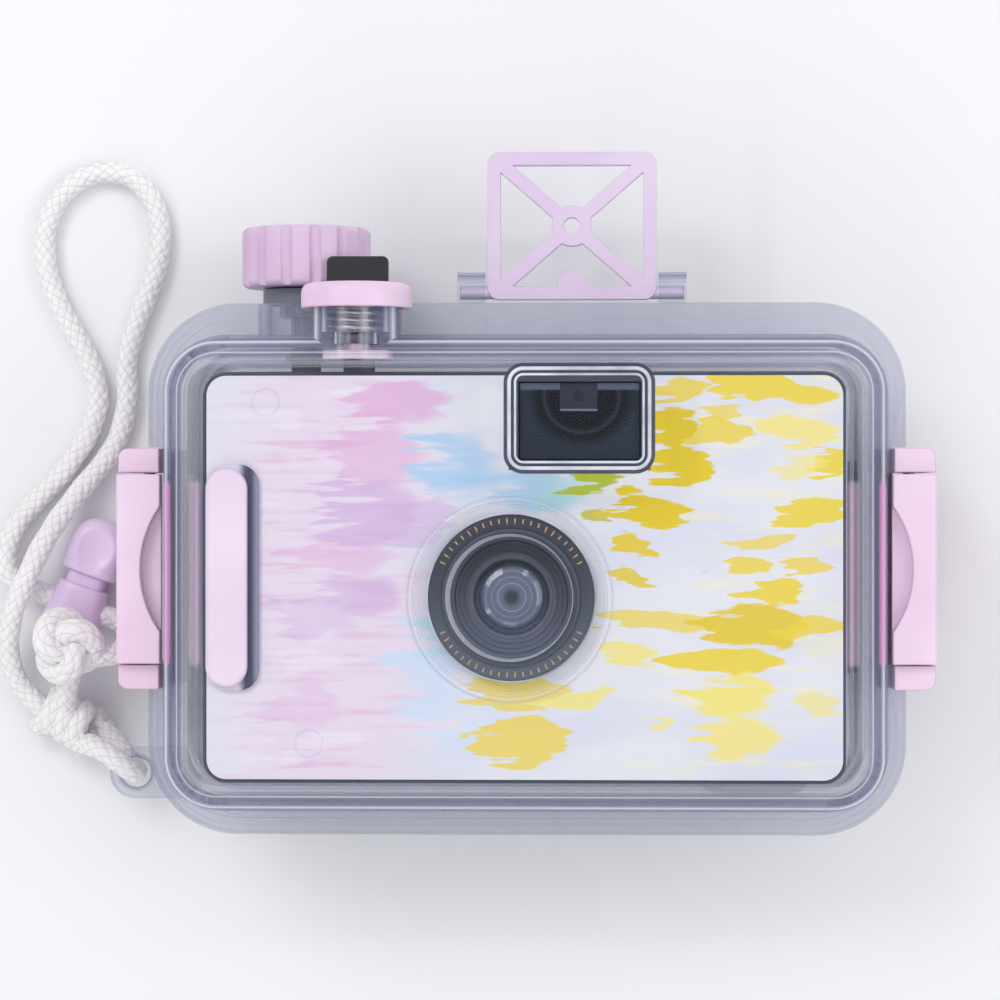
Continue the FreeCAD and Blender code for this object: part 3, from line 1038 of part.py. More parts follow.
def make_strap():
    rope = D.rope.value / 2
    loop, radii = path_wire(LOOP_ROUTE)
    print("strap_loop radii", [round(radius, 1) for radius in radii])
    formed("strap_loop", tube("strap_loop", loop, rope))
    ring, radii = path_wire(lug_loop_route(), share=0.49)
    print("strap_lug_loop radii", [round(radius, 1) for radius in radii])
    formed("strap_lug_loop", tube("strap_lug_loop", ring, rope))
    formed("strap_hitch", capsule(Vector(*HITCH_ENDS[0]), Vector(*HITCH_ENDS[1]), D.hitch_radius.value))
    knot = doc.addObject("Part::Ellipsoid", "strap_knot")
    pieces["strap_knot"] = knot
    for path, size in (("Radius1", D.knot_tall), ("Radius2", D.knot_wide), ("Radius3", D.knot_long)):
        bind(knot, path, size)
    knot.Placement.Base = Vector(*KNOT)
    make_cord_lock()


def lug_loop_route():
    """The rope from the hitch under the lug, up through its eye and back over it."""
    clear = D.rope.value / 2 + D.eye_gap.value
    eye = Vector(-D.eye_x.value, -D.eye_y.value, 0)
    hitch = Vector(HITCH_ENDS[1][0], HITCH_ENDS[1][1], 0)
    back = (hitch - eye) * (1 / (hitch - eye).Length)
    across = Vector(back.y, -back.x, 0)
    below = Vector(0, 0, D.eye_base.value - clear)
    above = Vector(0, 0, D.eye_base.value + D.eye_plate.value + clear)
    reach = back * (above.z - below.z)
    inside = Vector(0, 0, HITCH_ENDS[1][2])
    return [tuple(point) for point in (
        hitch + across * D.lug_strand_in.value + below, eye + below, eye + above, eye + reach + above,
        hitch - across * D.lug_strand_out.value + inside)]


def capsule(start, end, radius):
    body = Part.makeCylinder(radius, (end - start).Length, start, end - start)
    caps = [Part.makeSphere(radius, start), Part.makeSphere(radius, end)]
    return body.multiFuse(caps).removeSplitter()


def make_cord_lock():
    """A sprung cord lock: a barrel with a cross hole for the rope, and a plunger with a hole of its own."""
    barrel = new_body("cord_lock_body")
    half_wide, half_thick = D.lock_wide / 2, D.lock_thick / 2
    pad(barrel, rounded(new_sketch(barrel, "YZ_Plane"), -half_wide, half_wide, -half_thick, half_thick,
                        D.lock_round), D.lock_long)
    core, cavity = D.lock_core / 2, D.lock_cavity / 2
    pocket(barrel, rectangle(new_sketch(barrel, "YZ_Plane", D.lock_long), -core, core, -cavity, cavity),
           D.lock_long - D.lock_floor)
    cut_cross_hole(barrel, D.lock_hole - D.lock_slot / 2, D.lock_hole + D.lock_slot / 2)
    plunger = new_body("cord_lock_plunger")
    gap = D.tongue_gap
    pad(plunger, rectangle(new_sketch(plunger, "YZ_Plane", D.tongue_end), gap - core, core - gap,
                           gap - cavity, cavity - gap), D.cap_bottom - D.tongue_end)
    cap = rounded(new_sketch(plunger, "YZ_Plane", D.cap_bottom), -D.lock_cap, D.lock_cap, -half_thick,
                  half_thick, D.lock_round)
    pad(plunger, cap, D.cap_long)
    round_edges(plunger, D.lock_dome, level("X", D.cap_bottom + D.cap_long))
    dish = plunger.newObject("PartDesign::SubtractiveSphere", "thumb_dish")
    bind(dish, "Radius", D.dish_ball)
    place(dish, D.cap_bottom + D.cap_long / 2, 0, half_thick + D.dish_ball - D.dish_sink)
    cut_cross_hole(plunger, D.lock_hole - D.rope / 2 - D.fit_gap * 2,
                   D.lock_hole + D.rope / 2 + D.lock_travel + D.fit_gap * 2)
    doc.recompute()
    spring = coil_spring("cord_lock_spring", D.lock_spring_radius.value, D.lock_spring_wire.value,
                         D.lock_spring_turns.value,
                         (D.tongue_end - D.lock_floor - D.lock_spring_wire * 2).value)
    coil = formed("cord_lock_spring", spring)
    turn = FreeCAD.Rotation(Vector(0, 0, 1), D.lock_turn.value)
    for piece in (barrel, plunger):
        piece.Placement = FreeCAD.Placement(Vector(), turn)
        bind(piece, "Placement.Rotation.Angle", D.lock_turn)
        place(piece, -D.lock_x, -D.lock_y, D.lock_level)
    along = turn.multVec(Vector(D.lock_floor.value + D.lock_spring_wire.value, 0, 0))
    base = Vector(-D.lock_x.value, -D.lock_y.value, D.lock_level.value)
    coil.Placement = FreeCAD.Placement(base + along, turn * FreeCAD.Rotation(Vector(0, 1, 0), 90))


def cut_cross_hole(body, near, far):
    tall = D.lock_slot_tall / 2
    sketch = rectangle(new_sketch(body, "XZ_Plane"), near, far, -tall, tall)
    pocket(body, sketch, D.lock_wide + 2, midplane=True)


def check_and_write():
    """Every object is up to date and every piece is a sound solid before anything is written."""
    doc.recompute()
    for thing in doc.Objects:
        if "Invalid" in thing.State or "Error" in thing.State:
            raise RuntimeError(f"{thing.Label} failed: {thing.State}")
    os.makedirs("parts", exist_ok=True)
    for label, piece in pieces.items():
        shape = piece.Shape
        if shape.isNull() or not shape.isValid() or not shape.Solids:
            raise RuntimeError(f"{label} has no sound solid")
        shape.exportStep(f"parts/{label}.step")
    print(len(pieces), "pieces written")


make_rear_shell()
make_front_shell()
make_case_gasket()
make_button_guard()
make_latches()
make_sight_frame()
make_shutter_button()
make_winding_train()
make_front_cover()
make_film_door()
make_door_parts()
make_chassis()
make_finder()
make_print_and_grip()
make_lens()
make_film_drive()
make_strap()
check_and_write()
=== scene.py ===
"""The looks of an underwater film camera: a clear latched case, a pastel tie-dyed camera and a white strap.

Metres, in the frame of the solids: X to the right across the front, Y to the top, Z out of the lens.
The view and the light come first, then the finishes and which solid wears which, then the strap with its cord
lock, the two springs, the fine moulded lines and the floor.
"""

import json
import math
import bpy
import numpy as np
from mathutils import Matrix, Vector

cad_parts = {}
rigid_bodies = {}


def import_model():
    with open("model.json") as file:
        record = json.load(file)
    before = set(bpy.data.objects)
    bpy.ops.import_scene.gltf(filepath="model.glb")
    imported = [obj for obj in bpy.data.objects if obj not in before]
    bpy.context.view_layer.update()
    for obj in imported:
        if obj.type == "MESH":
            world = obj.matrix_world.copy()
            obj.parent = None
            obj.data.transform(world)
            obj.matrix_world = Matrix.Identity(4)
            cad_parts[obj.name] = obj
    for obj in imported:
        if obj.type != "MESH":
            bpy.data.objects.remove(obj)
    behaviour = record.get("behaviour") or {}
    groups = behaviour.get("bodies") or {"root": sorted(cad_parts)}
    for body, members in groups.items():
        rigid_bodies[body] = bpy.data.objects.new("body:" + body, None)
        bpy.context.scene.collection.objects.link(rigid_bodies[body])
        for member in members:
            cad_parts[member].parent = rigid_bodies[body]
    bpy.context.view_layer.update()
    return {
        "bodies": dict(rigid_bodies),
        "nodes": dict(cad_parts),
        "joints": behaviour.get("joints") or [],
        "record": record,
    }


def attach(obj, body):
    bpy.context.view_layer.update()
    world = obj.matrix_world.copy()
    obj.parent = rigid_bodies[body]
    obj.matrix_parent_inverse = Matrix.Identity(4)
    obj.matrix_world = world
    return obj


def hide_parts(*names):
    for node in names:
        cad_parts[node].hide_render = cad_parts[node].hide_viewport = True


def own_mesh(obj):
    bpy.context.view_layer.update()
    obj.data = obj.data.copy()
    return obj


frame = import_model()
nodes = frame["nodes"]

MM = 0.001                              # a millimetre in the scene's metres
LENS_AXIS = np.array([-2.0, -4.4])      # x and y of the lens, mm
GRIP_X = -48.4                          # middle of the grip bar, mm
ROPE = 3.8                              # thickness of the strap's rope, mm
STRANDS = 6                             # strands of the braid that wind each way
ABOVE_ZERO = 400.0                      # added to strand numbers that would fall below zero
FORWARD = np.array([0.0, 0.0, 1.0])     # out of the lens


def tint(red, green, blue):
    """A colour given as 0 to 255 display values, turned into the linear values that a shader takes."""
    shown = np.array([red, green, blue]) / 255.0
    linear = np.where(shown <= 0.04045, shown / 12.92, ((shown + 0.055) / 1.055) ** 2.4)
    return (*linear.tolist(), 1.0)


# The view from the front, a little right of the middle, and soft studio light.

VIEW_FROM, VIEW_TO = (0.0148, 0.0119, 0.618), (-0.0053, 0.0114, 0.0)
SENSOR_WIDTH, FOCAL_LENGTH = 36.0, 127.2
LAMPS = [
    ("key", (-0.42, 0.5, 0.75), (0.34, 0.34), 1.85),
    ("fill", (0.6, 0.05, 0.6), (0.5, 0.5), 1.5),
    ("low", (-0.1, -0.65, 0.5), (0.4, 0.4), 0.7),
    ("strip_top", (0.05, 0.34, 0.55), (0.7, 0.03), 0.3),
    ("strip_side", (-0.36, -0.02, 0.5), (0.03, 0.7), 0.3),
]


def hang(name, data, place, target=(0.0, 0.0, 0.0)):
    """A camera or lamp at a place in metres, turned level towards the target."""
    thing = bpy.data.objects.new(name, data)
    bpy.context.scene.collection.objects.link(thing)
    thing.location = place
    back = (thing.location - Vector(target)).normalized()
    right = Vector((0.0, 1.0, 0.0)).cross(back).normalized()
    thing.rotation_euler = Matrix((right, back.cross(right), back)).transposed().to_euler()
    return thing


def set_camera():
    """A long lens above the floor that the case lies on."""
    data = bpy.data.cameras.new("camera")
    data.sensor_width = SENSOR_WIDTH
    data.lens = FOCAL_LENGTH
    data.clip_start = 0.01
    bpy.context.scene.camera = hang("camera", data, VIEW_FROM, VIEW_TO)


def set_light():
    """Two broad lamps, one low one and two narrow strips that draw bright lines on bent clear plastic."""
    for name, place, (wide, tall), power in LAMPS:
        data = bpy.data.lights.new(name, "AREA")
        data.shape = "RECTANGLE"
        data.size = wide
        data.size_y = tall
        data.energy = power
        hang(name, data, place)
    bpy.context.scene.view_settings.view_transform = "Standard"


set_camera()
set_light()


# Shader maths written as Python expressions.

class Value:
    """One number on a material's tree; arithmetic with it adds Math nodes."""

    def __init__(self, finish, socket):
        self.finish = finish
        self.socket = socket

    def _with(self, operation, *others):
        """A Math node whose first value is this one."""
        return self.finish.node("ShaderNodeMath", {"operation": operation}, dict(enumerate((self,) + others)))

    def __add__(self, other):
        return self._with("ADD", other)

    def __sub__(self, other):
        return self._with("SUBTRACT", other)

    def __mul__(self, other):
        return self._with("MULTIPLY", other)

    def __truediv__(self, other):
        return self._with("DIVIDE", other)

    def __radd__(self, other):
        return self._with("ADD", other)

    def __rmul__(self, other):
        return self._with("MULTIPLY", other)

    def __rsub__(self, other):
        return self.finish.node("ShaderNodeMath", {"operation": "SUBTRACT"}, {0: other, 1: self})

    def sine(self):
        return self._with("SINE")

    def size(self):
        return self._with("ABSOLUTE")

    def larger(self, other):
        return self._with("MAXIMUM", other)

    def root(self):
        return self._with("SQRT")

    def part(self):
        return self._with("FRACT")

    def odd(self):
        """1 where the whole part is odd and 0 where it is even."""
        return (self * 0.5).part().step(0.4999, 0.5001)

    def step(self, low, high):
        """0 below low and 1 above high, with a smooth rise between them."""
        rise = {"interpolation_type": "SMOOTHSTEP"}
        return self.finish.node("ShaderNodeMapRange", rise, {0: self, 1: low, 2: high})

    def near(self, middle, inner, outer):
        """1 within inner of the middle, falling smoothly to 0 at outer."""
        return 1.0 - (self - middle).size().step(inner, outer)


GLOSS_CHANGE = 0.06     # how far the gloss of grained plastic drifts to each side
GRAIN = 1.6             # grain of the moulded plastics, waves to the millimetre


class Finish:
    """A material built on one Principled shader, with its patterns on the object's own coordinates."""

    def __init__(self, name, colour, roughness=0.5, **sockets):
        self.material = bpy.data.materials.new(name)
        self.material.use_nodes = True
        self.tree = self.material.node_tree
        self.shader = self.tree.nodes["Principled BSDF"]
        self.set("Base Color", colour)
        self.set("Roughness", roughness)
        for socket, value in sockets.items():
            self.set(socket.replace("_", " ").title().replace("Ior", "IOR"), value)

    def node(self, kind, settings=None, values=None, output=0):
        """Add a node: its settings come first, then the values or links of its inputs. Gives one output."""
        made = self.tree.nodes.new(kind)
        for name, value in (settings or {}).items():
            if name == "stops":
                self.fill_ramp(made.color_ramp, value)
            else:
                setattr(made, name, value)
        for key, value in (values or {}).items():
            self.join(made.inputs[key], value)
        return Value(self, made.outputs[output])

    def fill_ramp(self, ramp, stops):
        """Give a colour ramp its stops, each a place and a colour with alpha."""
        while len(ramp.elements) < len(stops):
            ramp.elements.new(0.5)
        for element, (place, colour) in zip(ramp.elements, stops):
            element.position = place
            element.color = colour

    def join(self, socket, value):
        """Link a Value to an input, or write a plain number or colour into it."""
        if isinstance(value, Value):
            self.tree.links.new(value.socket, socket)
        else:
            socket.default_value = value

    def set(self, name, value):
        """Set or link one input of the Principled shader."""
        self.join(self.shader.inputs[name], value)

    def place(self):
        """The three object coordinates in millimetres."""
        where = self.node("ShaderNodeTexCoord", output="Object")
        return [self.node("ShaderNodeSeparateXYZ", None, {0: where}, axis) * 1000.0 for axis in range(3)]

    def along(self):
        """The two coordinates of the piece's own surface map."""
        where = self.node("ShaderNodeTexCoord", output="UV")
        return [self.node("ShaderNodeSeparateXYZ", None, {0: where}, axis) for axis in range(2)]

    def vector(self, x, y, z=0.0):
        return self.node("ShaderNodeCombineXYZ", None, {0: x, 1: y, 2: z})

    def noise(self, vector, scale=1.0, detail=2.0, rough=0.5):
        return self.node("ShaderNodeTexNoise", {"noise_dimensions": "3D"},
                         {"Vector": vector, "Scale": scale, "Detail": detail, "Roughness": rough})

    def mix(self, share, first, second):
        return self.node("ShaderNodeMix", {"data_type": "RGBA"}, {0: share, 6: first, 7: second}, 2)

    def bump(self, height, strength, distance, edge=0.0):
        """Lift the surface by a height; an edge radius in metres softens sharp moulded corners as well."""
        values = {"Height": height, "Strength": strength, "Distance": distance}
        if edge:
            values["Normal"] = self.node("ShaderNodeBevel", {"samples": 4}, {"Radius": edge})
        self.set("Normal", self.node("ShaderNodeBump", None, values))

    def drift(self, change=0.045):
        """A slow change between 0 and 1 over the piece."""
        return self.noise(self.vector(*self.place()), change, 2.0).step(0.3, 0.75)

    def grain(self, scale, strength, roughness, edge=0.0):
        """Fine moulded grain: a noise that lifts the surface and varies its gloss a little."""
        spot = self.vector(*self.place())
        fine = self.noise(spot, scale, 3.0, 0.6)
        wide = self.noise(spot, 0.11, 2.0)
        self.bump(fine, strength, 0.00008, edge)
        self.set("Roughness", wide * (GLOSS_CHANGE * 2.0) + (roughness - GLOSS_CHANGE))


# Finishes.

FLANGE_TOP = (31.2, 31.8)       # the step from the thick flange up to the thin wall, in z
LATCH_REACH = (58.6, 59.0)      # where a latch's strip begins under the flange, from the middle
LATCH_HALF = (15.8, 16.2)       # half the length of that strip
# Painted highlights (pale) and painted shade (grey-blue) on the case's bent edges, set by how far they lean.
EDGE_HIGHLIGHT_AND_SHADE_BANDS = [                 # lean from the front, colour, how much of it shows
    (0.0, (224, 227, 240), 0.004), (0.004, (224, 227, 240), 0.006), (0.035, (240, 242, 252), 0.22),
    (0.08, (150, 156, 184), 0.1), (0.3, (120, 128, 162), 0.34), (0.44, (240, 240, 250), 0.75),
    (0.56, (112, 118, 152), 0.4), (0.72, (150, 150, 176), 0.1), (0.93, (236, 234, 248), 0.16),
    (1.0, (160, 160, 186), 0.1),
]


def painted_latch_reflection(x, y, z, lean):
    """How much painted reflection of the latch's pink the clear wall carries: on the forward faces of its two
    bends.
    """
    beside = y.near(-0.5, 14.2, 15.4)
    front_bend = x.size().near(53.3, 0.6, 1.2) * z.step(43.0, 45.0) * beside
    foot_bend = x.size().near(58.5, 0.9, 1.3) * z.step(30.0, 31.0) * (1.0 - lean.step(0.5, 0.8)) * beside
    return front_bend * 0.5 + foot_bend


def clear_finish():
    """Clear moulded plastic: see-through on its flat front, with pale lines of painted highlight and
    grey-blue lines of painted shade on its bent edges.

    Each line lies where the surface leans by so much from the front. The thick flange is a little greyer,
    save over the latches' strips, which show through it. The latches' pink is put on the wall's bends beside
    them as a painted reflection. Light on its way to what lies inside passes almost whole.
    """
    made = Finish("clear_plastic", tint(178, 184, 206), 0.045, specular_ior_level=0.3)
    way = made.node("ShaderNodeTexCoord", output="Normal")
    lean = 1.0 - made.node("ShaderNodeSeparateXYZ", None, {0: way}, 2).size()
    stops = [(place, (*tint(*shade)[:3], alpha)) for place, shade, alpha in EDGE_HIGHLIGHT_AND_SHADE_BANDS]
    # These bands are painted highlights and painted shade on the bent edges.
    painted_edge_lines = made.node("ShaderNodeValToRGB", {"stops": stops}, {0: lean})
    band_alpha = Value(made, painted_edge_lines.socket.node.outputs["Alpha"])
    x, y, z = made.place()
    strip = x.size().step(*LATCH_REACH) * (1.0 - y.size().step(*LATCH_HALF))
    thick = (1.0 - z.step(*FLANGE_TOP)) * (1.0 - strip * 0.9)
    # pink: a painted reflection of the latch on the wall's bends, in colour and in alpha.
    pink = painted_latch_reflection(x, y, z, lean)
    colour = made.mix(thick * 0.7, painted_edge_lines, tint(146, 152, 182))
    made.set("Base Color", made.mix(pink * 0.85, colour, tint(222, 150, 206)))
    haze = made.noise(made.vector(x, y, z), 0.05, 2.0)
    upright = lean.step(0.6, 0.8) * thick
    seen = band_alpha + thick * (haze * 0.08 + 0.18) + upright * 0.16 + pink * 0.3
    rays = ("Is Shadow Ray", "Is Diffuse Ray")
    shadow, diffuse = (made.node("ShaderNodeLightPath", output=ray) for ray in rays)
    made.set("Alpha", seen * (1.0 - shadow.larger(diffuse) * 0.8))
    made.bump(made.noise(made.vector(x, y, z), 0.12, 2.0), 0.25, 0.0006)
    return made.material


# A dye is a colour and how its edge runs out; the edges are the widths of that fade.
EDGES = {"pale": 0.9, "soft": 0.55, "crisp": 0.24}
DEEP, GOLD, STRAW = (218, 192, 22, "crisp"), (226, 202, 52, "crisp"), (232, 218, 124, "soft")
SKY, MIST, TEAL = (158, 196, 230, "pale"), (196, 214, 238, "pale"), (168, 214, 220, "pale")
ROSE, MAUVE = (214, 158, 204, "soft"), (200, 168, 214, "soft")
LIME, OLIVE = (170, 184, 40, "soft"), (190, 186, 40, "soft")
DYE_POOLS = [   # middle x and y, half the width and height in mm, dye, how much of it
    (-20.0, 27.0, 8, 4.5, ROSE, 0.7), (-24.0, 19.0, 8, 5, ROSE, 0.5), (-25.0, 10.0, 9, 7, MAUVE, 0.7),
    (-29.0, 2.0, 8, 3, ROSE, 0.4), (-27.0, -4.0, 9, 4, MAUVE, 0.6), (-36.0, -22.0, 6, 5, ROSE, 0.3),
    (-34.0, -8.0, 6, 4, MAUVE, 0.35), (-11.0, 16.5, 8, 7, SKY, 0.8), (1.0, 13.5, 10, 4, SKY, 0.8),
    (-17.0, 8.0, 6, 5, MAUVE, 0.6), (-16.0, -16.0, 7, 11, MIST, 0.8), (-12.0, -10.0, 6, 5, TEAL, 0.6),
    (-8.0, -24.0, 8, 6, MIST, 0.5), (6.0, 12.5, 5, 3, TEAL, 0.8), (11.2, 14.2, 3.4, 2.6, LIME, 1.0),
    (12.5, 8.5, 2.4, 1.4, OLIVE, 0.9), (40.0, 29.0, 12, 2.2, GOLD, 0.95), (24.5, 29.0, 5, 2.4, GOLD, 0.9),
    (22.6, 23.0, 4.5, 4.0, DEEP, 1.0), (32.0, 22.4, 7, 1.8, GOLD, 0.9), (24.5, 17.6, 6.0, 3.6, DEEP, 1.0),
    (32.0, 25.2, 3.4, 1.4, GOLD, 0.8), (46.0, 22.5, 6, 2.8, STRAW, 0.9), (50.0, 17.0, 3.4, 3.0, GOLD, 0.95),
    (45.0, 17.0, 5, 2.4, STRAW, 0.7), (46.5, 9.0, 6, 2.6, GOLD, 0.95), (20.5, 9.8, 6, 3.0, DEEP, 1.0),
    (17.5, 3.4, 3.4, 2.0, DEEP, 0.95), (17.0, -1.6, 4.2, 1.5, DEEP, 0.9), (37.5, 4.8, 5, 1.6, GOLD, 0.8),
    (36.0, 0.8, 4, 1.5, GOLD, 0.9), (45.5, 0.6, 4, 1.8, GOLD, 0.85), (41.5, -3.4, 5, 2.2, GOLD, 0.95),
    (22.0, -8.4, 9, 1.9, GOLD, 0.8), (37.0, -9.0, 9, 4.2, DEEP, 0.95), (46.0, -9.0, 6, 1.8, GOLD, 0.9),
    (33.0, -14.6, 9, 2.6, GOLD, 0.95), (17.0, -14.5, 5, 2.4, STRAW, 0.9), (34.0, -20.0, 7, 4.5, STRAW, 1.0),
    (35.0, -27.0, 7, 3.6, STRAW, 0.9), (48.0, -22.0, 4, 2.2, STRAW, 0.7), (-1.0, -20.0, 7, 3.4, GOLD, 0.8),
    (0.0, -27.5, 7, 5, GOLD, 0.85), (9.5, -20.5, 6, 2.0, STRAW, 0.9), (22.0, -24.0, 2.0, 1.6, STRAW, 0.7),
]


def print_finish():
    """Pastel tie-dye: a pale ground, pink and straw washes, and dye pools.

    The pools' left and right edges run out into fine level streaks.
    """
    made = Finish("tie_dye_print", tint(226, 226, 236), 0.42, coat_weight=0.2, coat_roughness=0.25)
    x, y, z = made.place()
    fine = made.noise(made.vector(x * 0.06, y * 0.62), 1.0, 3.0, 0.45)
    soft = made.noise(made.vector(x * 0.05, y * 0.8, 2.0), 1.0, 2.0, 0.4)
    coarse = made.noise(made.vector(x * 0.07, y * 0.3, 4.0), 1.0, 3.0, 0.6)
    cloud = made.noise(made.vector(x * 0.035, y * 0.09, 11.0), 1.0, 3.0, 0.55)
    sway = made.noise(made.vector(x * 0.1, y * 0.05, 9.0), 1.0, 2.0)
    run = x + (fine - 0.5) * 17.0 + (coarse - 0.5) * 13.0
    rise = y + (sway - 0.5) * 6.0

    colour = made.mix(cloud.step(0.4, 0.65), tint(219, 220, 228), tint(210, 212, 227))
    pink = 1.0 - (run + (cloud - 0.5) * 34.0).step(-25.0, -8.0)
    colour = made.mix(pink * 0.75, colour, tint(222, 204, 224))
    streaks = (soft + (coarse - 0.5) * 0.9).step(0.46, 0.78) * pink
    colour = made.mix(streaks * 0.75, colour, tint(212, 176, 209))
    gaps = (coarse + (cloud - 0.5) * 1.2).step(0.56, 0.72) * pink
    colour = made.mix(gaps * 0.6, colour, tint(228, 224, 236))
    left_side = 1.0 - run.step(-54.0, -38.0)
    colour = made.mix(left_side * 0.8, colour, tint(216, 217, 226))
    straw = (coarse + (soft - 0.5) * 0.6).step(0.5, 0.72) * run.step(10.0, 30.0)
    colour = made.mix(straw * 0.45, colour, tint(236, 228, 172))

    for middle, level, wide, tall, (*dye, edge), most in DYE_POOLS:
        across, up = (run - middle) / wide, (rise - level) / tall
        depth = 1.0 - across * across - up * up
        patch = (depth + (fine - 0.5) * 1.7 + (coarse - 0.5) * 1.6).step(0.0, EDGES[edge]) * most
        colour = made.mix(patch, colour, tint(*dye))
    made.set("Base Color", colour)
    made.bump(made.noise(made.vector(x, y, z), 2.4, 2.0), 0.05, 0.00005)
    return made.material


def plain(name, colour, roughness, strength=0.12, deep=None, edge=0.0, change=0.045, **sockets):
    """A moulded colour with a slow drift towards a second shade, by default a tenth darker."""
    made = Finish(name, colour, roughness, **sockets)
    deep = deep or (*(0.9 * part for part in colour[:3]), 1.0)
    made.set("Base Color", made.mix(made.drift(change), colour, deep))
    made.grain(GRAIN, strength, roughness, edge)
    return made.material


def lens_reach(made):
    """Across and up from the lens axis, z, and the reach from that axis, in millimetres."""
    x, y, z = made.place()
    across, up = x - LENS_AXIS[0], y - LENS_AXIS[1]
    return across, up, z, (across * across + up * up).root()


STROKES = 60                    # gold strokes of a full turn, longer every fifth one
STROKE_BAND = (12.15, 12.82)    # inner and outer end of a short stroke, from the lens axis
BEZEL_FACE = (46.4, 46.5)       # the rise to the bezel's front, in z
BARE_SIDES = (4.6, 4.9)         # half the height without strokes at the left and right


def bezel_finish():
    """Near-black ring, paler towards the bottom as a painted reflection, with a band of gold strokes, longer
    every fifth one.
    """
    made = Finish("bezel_black", tint(54, 60, 78), 0.3, coat_weight=0.1)
    across, up, z, reach = lens_reach(made)
    turn = made.node("ShaderNodeMath", {"operation": "ARCTAN2"}, {0: up, 1: across})
    place = (turn * (STROKES / (2 * math.pi)) + STROKES).part()
    stroke = place.near(0.5, 0.06, 0.12)
    fifth = (turn * (STROKES / 5 / (2 * math.pi)) + (STROKES + 0.1)).part().near(0.1, 0.09, 0.11)
    inner, outer = STROKE_BAND
    band = (reach - (inner - fifth * 0.3)).step(-0.04, 0.04) * (1.0 - reach.step(outer, outer + 0.1))
    gold = stroke * band * z.step(*BEZEL_FACE) * up.size().step(*BARE_SIDES)
    # Paler towards the bottom: a painted reflection on the black ring.
    colour = made.mix(up.step(-13.0, 8.0), tint(84, 90, 108), tint(48, 53, 68))
    made.set("Base Color", made.mix(gold, colour, tint(178, 150, 84)))
    made.bump((reach * 12.0).sine(), 0.05, 0.00003, 0.0002)
    return made.material


def ring_finish():
    """A dark turned ring whose inner lip is bright metal, drawn broader on the left as a painted highlight.
    """
    made = Finish("bright_ring", tint(206, 208, 214), 0.18, metallic=1.0)
    across, up, z, reach = lens_reach(made)
    # The lip's outer edge reaches further on the left: a painted highlight on real bright metal.
    inner, outer = 9.85, 10.35 - across * 0.028
    lip = (reach - inner).step(-0.05, 0.05) * (1.0 - (reach - outer).step(-0.06, 0.06))
    made.set("Base Color", made.mix(lip, tint(70, 76, 92), tint(222, 226, 234)))
    made.set("Metallic", lip * 0.8)
    made.bump((reach * 40.0).sine(), 0.06, 0.00003)
    return made.material


def barrel_finish():
    """The well of the lens: smooth dark plastic with broad turned steps, paler towards the bottom as a
    painted reflection, with painted highlights on the steps' crests.
    """
    made = Finish("barrel_black", tint(46, 52, 64), 0.35, coat_weight=0.1, coat_roughness=0.2)
    across, up, z, reach = lens_reach(made)
    # Paler towards the bottom: a painted reflection.
    colour = made.mix(up.step(-11.0, 8.0), tint(86, 92, 112), tint(34, 39, 52))
    wave = (reach * 2.1).sine()
    # Lighter on the crests of the turned steps: a painted highlight.
    made.set("Base Color", made.mix(wave.step(0.2, 0.9) * 0.4, colour, tint(98, 104, 124)))
    made.bump(wave, 0.25, 0.0001)
    return made.material


BOWL = (9.4, 28.2, 0.118, 0.125)    # middle of the finder's round frames, and their size across and up
SQUARE_X, SQUARE_FOOT = 8.9, 25.9   # middle and foot of the small square frame that hangs from the top
SQUARE_HALF = (3.0, 3.1)            # half its width


def window_finish():
    """The finder's front lens, with the tunnel's nested frames that it shows painted on it: painted shade in
    their depth and painted highlights on the top edge and on the small frame's sill.
    """
    made = Finish("finder_window", tint(46, 54, 70), 0.12, specular_ior_level=0.2)
    x, y, z = made.place()
    middle, level, narrow, low = BOWL
    across, up = (x - middle) * narrow, (y - level) * low
    bowl = (across * across + up * up).root()
    # Dark bowl and rings: painted shade in the depth of the tunnel.
    colour = made.mix(bowl.step(0.8, 1.1), tint(18, 22, 31), tint(40, 49, 64))
    colour = made.mix((bowl - 0.72).size().step(0.0, 0.07), tint(42, 49, 62), colour)
    colour = made.mix((bowl - 0.56).size().step(0.0, 0.08), tint(14, 17, 25), colour)
    # A pale band along the top: a painted highlight.
    lintel_highlight = y.step(29.2, 29.6)
    colour = made.mix(lintel_highlight * 0.7, colour, tint(104, 114, 134))
    aside = (x - SQUARE_X).size()
    width = 1.0 - aside.step(*SQUARE_HALF)
    colour = made.mix(width * y.step(SQUARE_FOOT, SQUARE_FOOT + 0.1), colour, tint(54, 55, 70))
    # A pale line at the small frame's foot: a painted highlight.
    sill_highlight = width * y.near(SQUARE_FOOT + 0.2, 0.1, 0.22)
    colour = made.mix(sill_highlight, colour, tint(116, 122, 140))
    # A dark spot in the small frame: painted shade.
    spot = (aside * aside + (y - 28.4) * (y - 28.4)).root().step(0.5, 1.3)
    made.set("Base Color", made.mix((1.0 - spot) * 0.7, colour, tint(38, 38, 50)))
    made.bump(made.noise(made.vector(x, y, z), 0.2, 2.0), 0.1, 0.0003)
    return made.material


def body_finish():
    """Dark camera plastic, paler on the hinged side, with the latch's pink beside the latch as a painted
    reflection.
    """
    made = Finish("camera_body", tint(62, 70, 90), 0.45)
    x, y, z = made.place()
    colour = made.mix(made.drift(), tint(66, 74, 94), tint(54, 61, 79))
    # Pink beside the latch: a painted reflection of the latch.
    painted_latch_tinge = y.step(-16.4, -16.0) * (1.0 - y.step(14.2, 14.6)) * 0.6
    side = made.mix(painted_latch_tinge, tint(168, 174, 194), tint(212, 168, 198))
    made.set("Base Color", made.mix(x.step(52.2, 52.5), colour, side))
    made.grain(2.2, 0.15, 0.45, 0.0003)
    return made.material


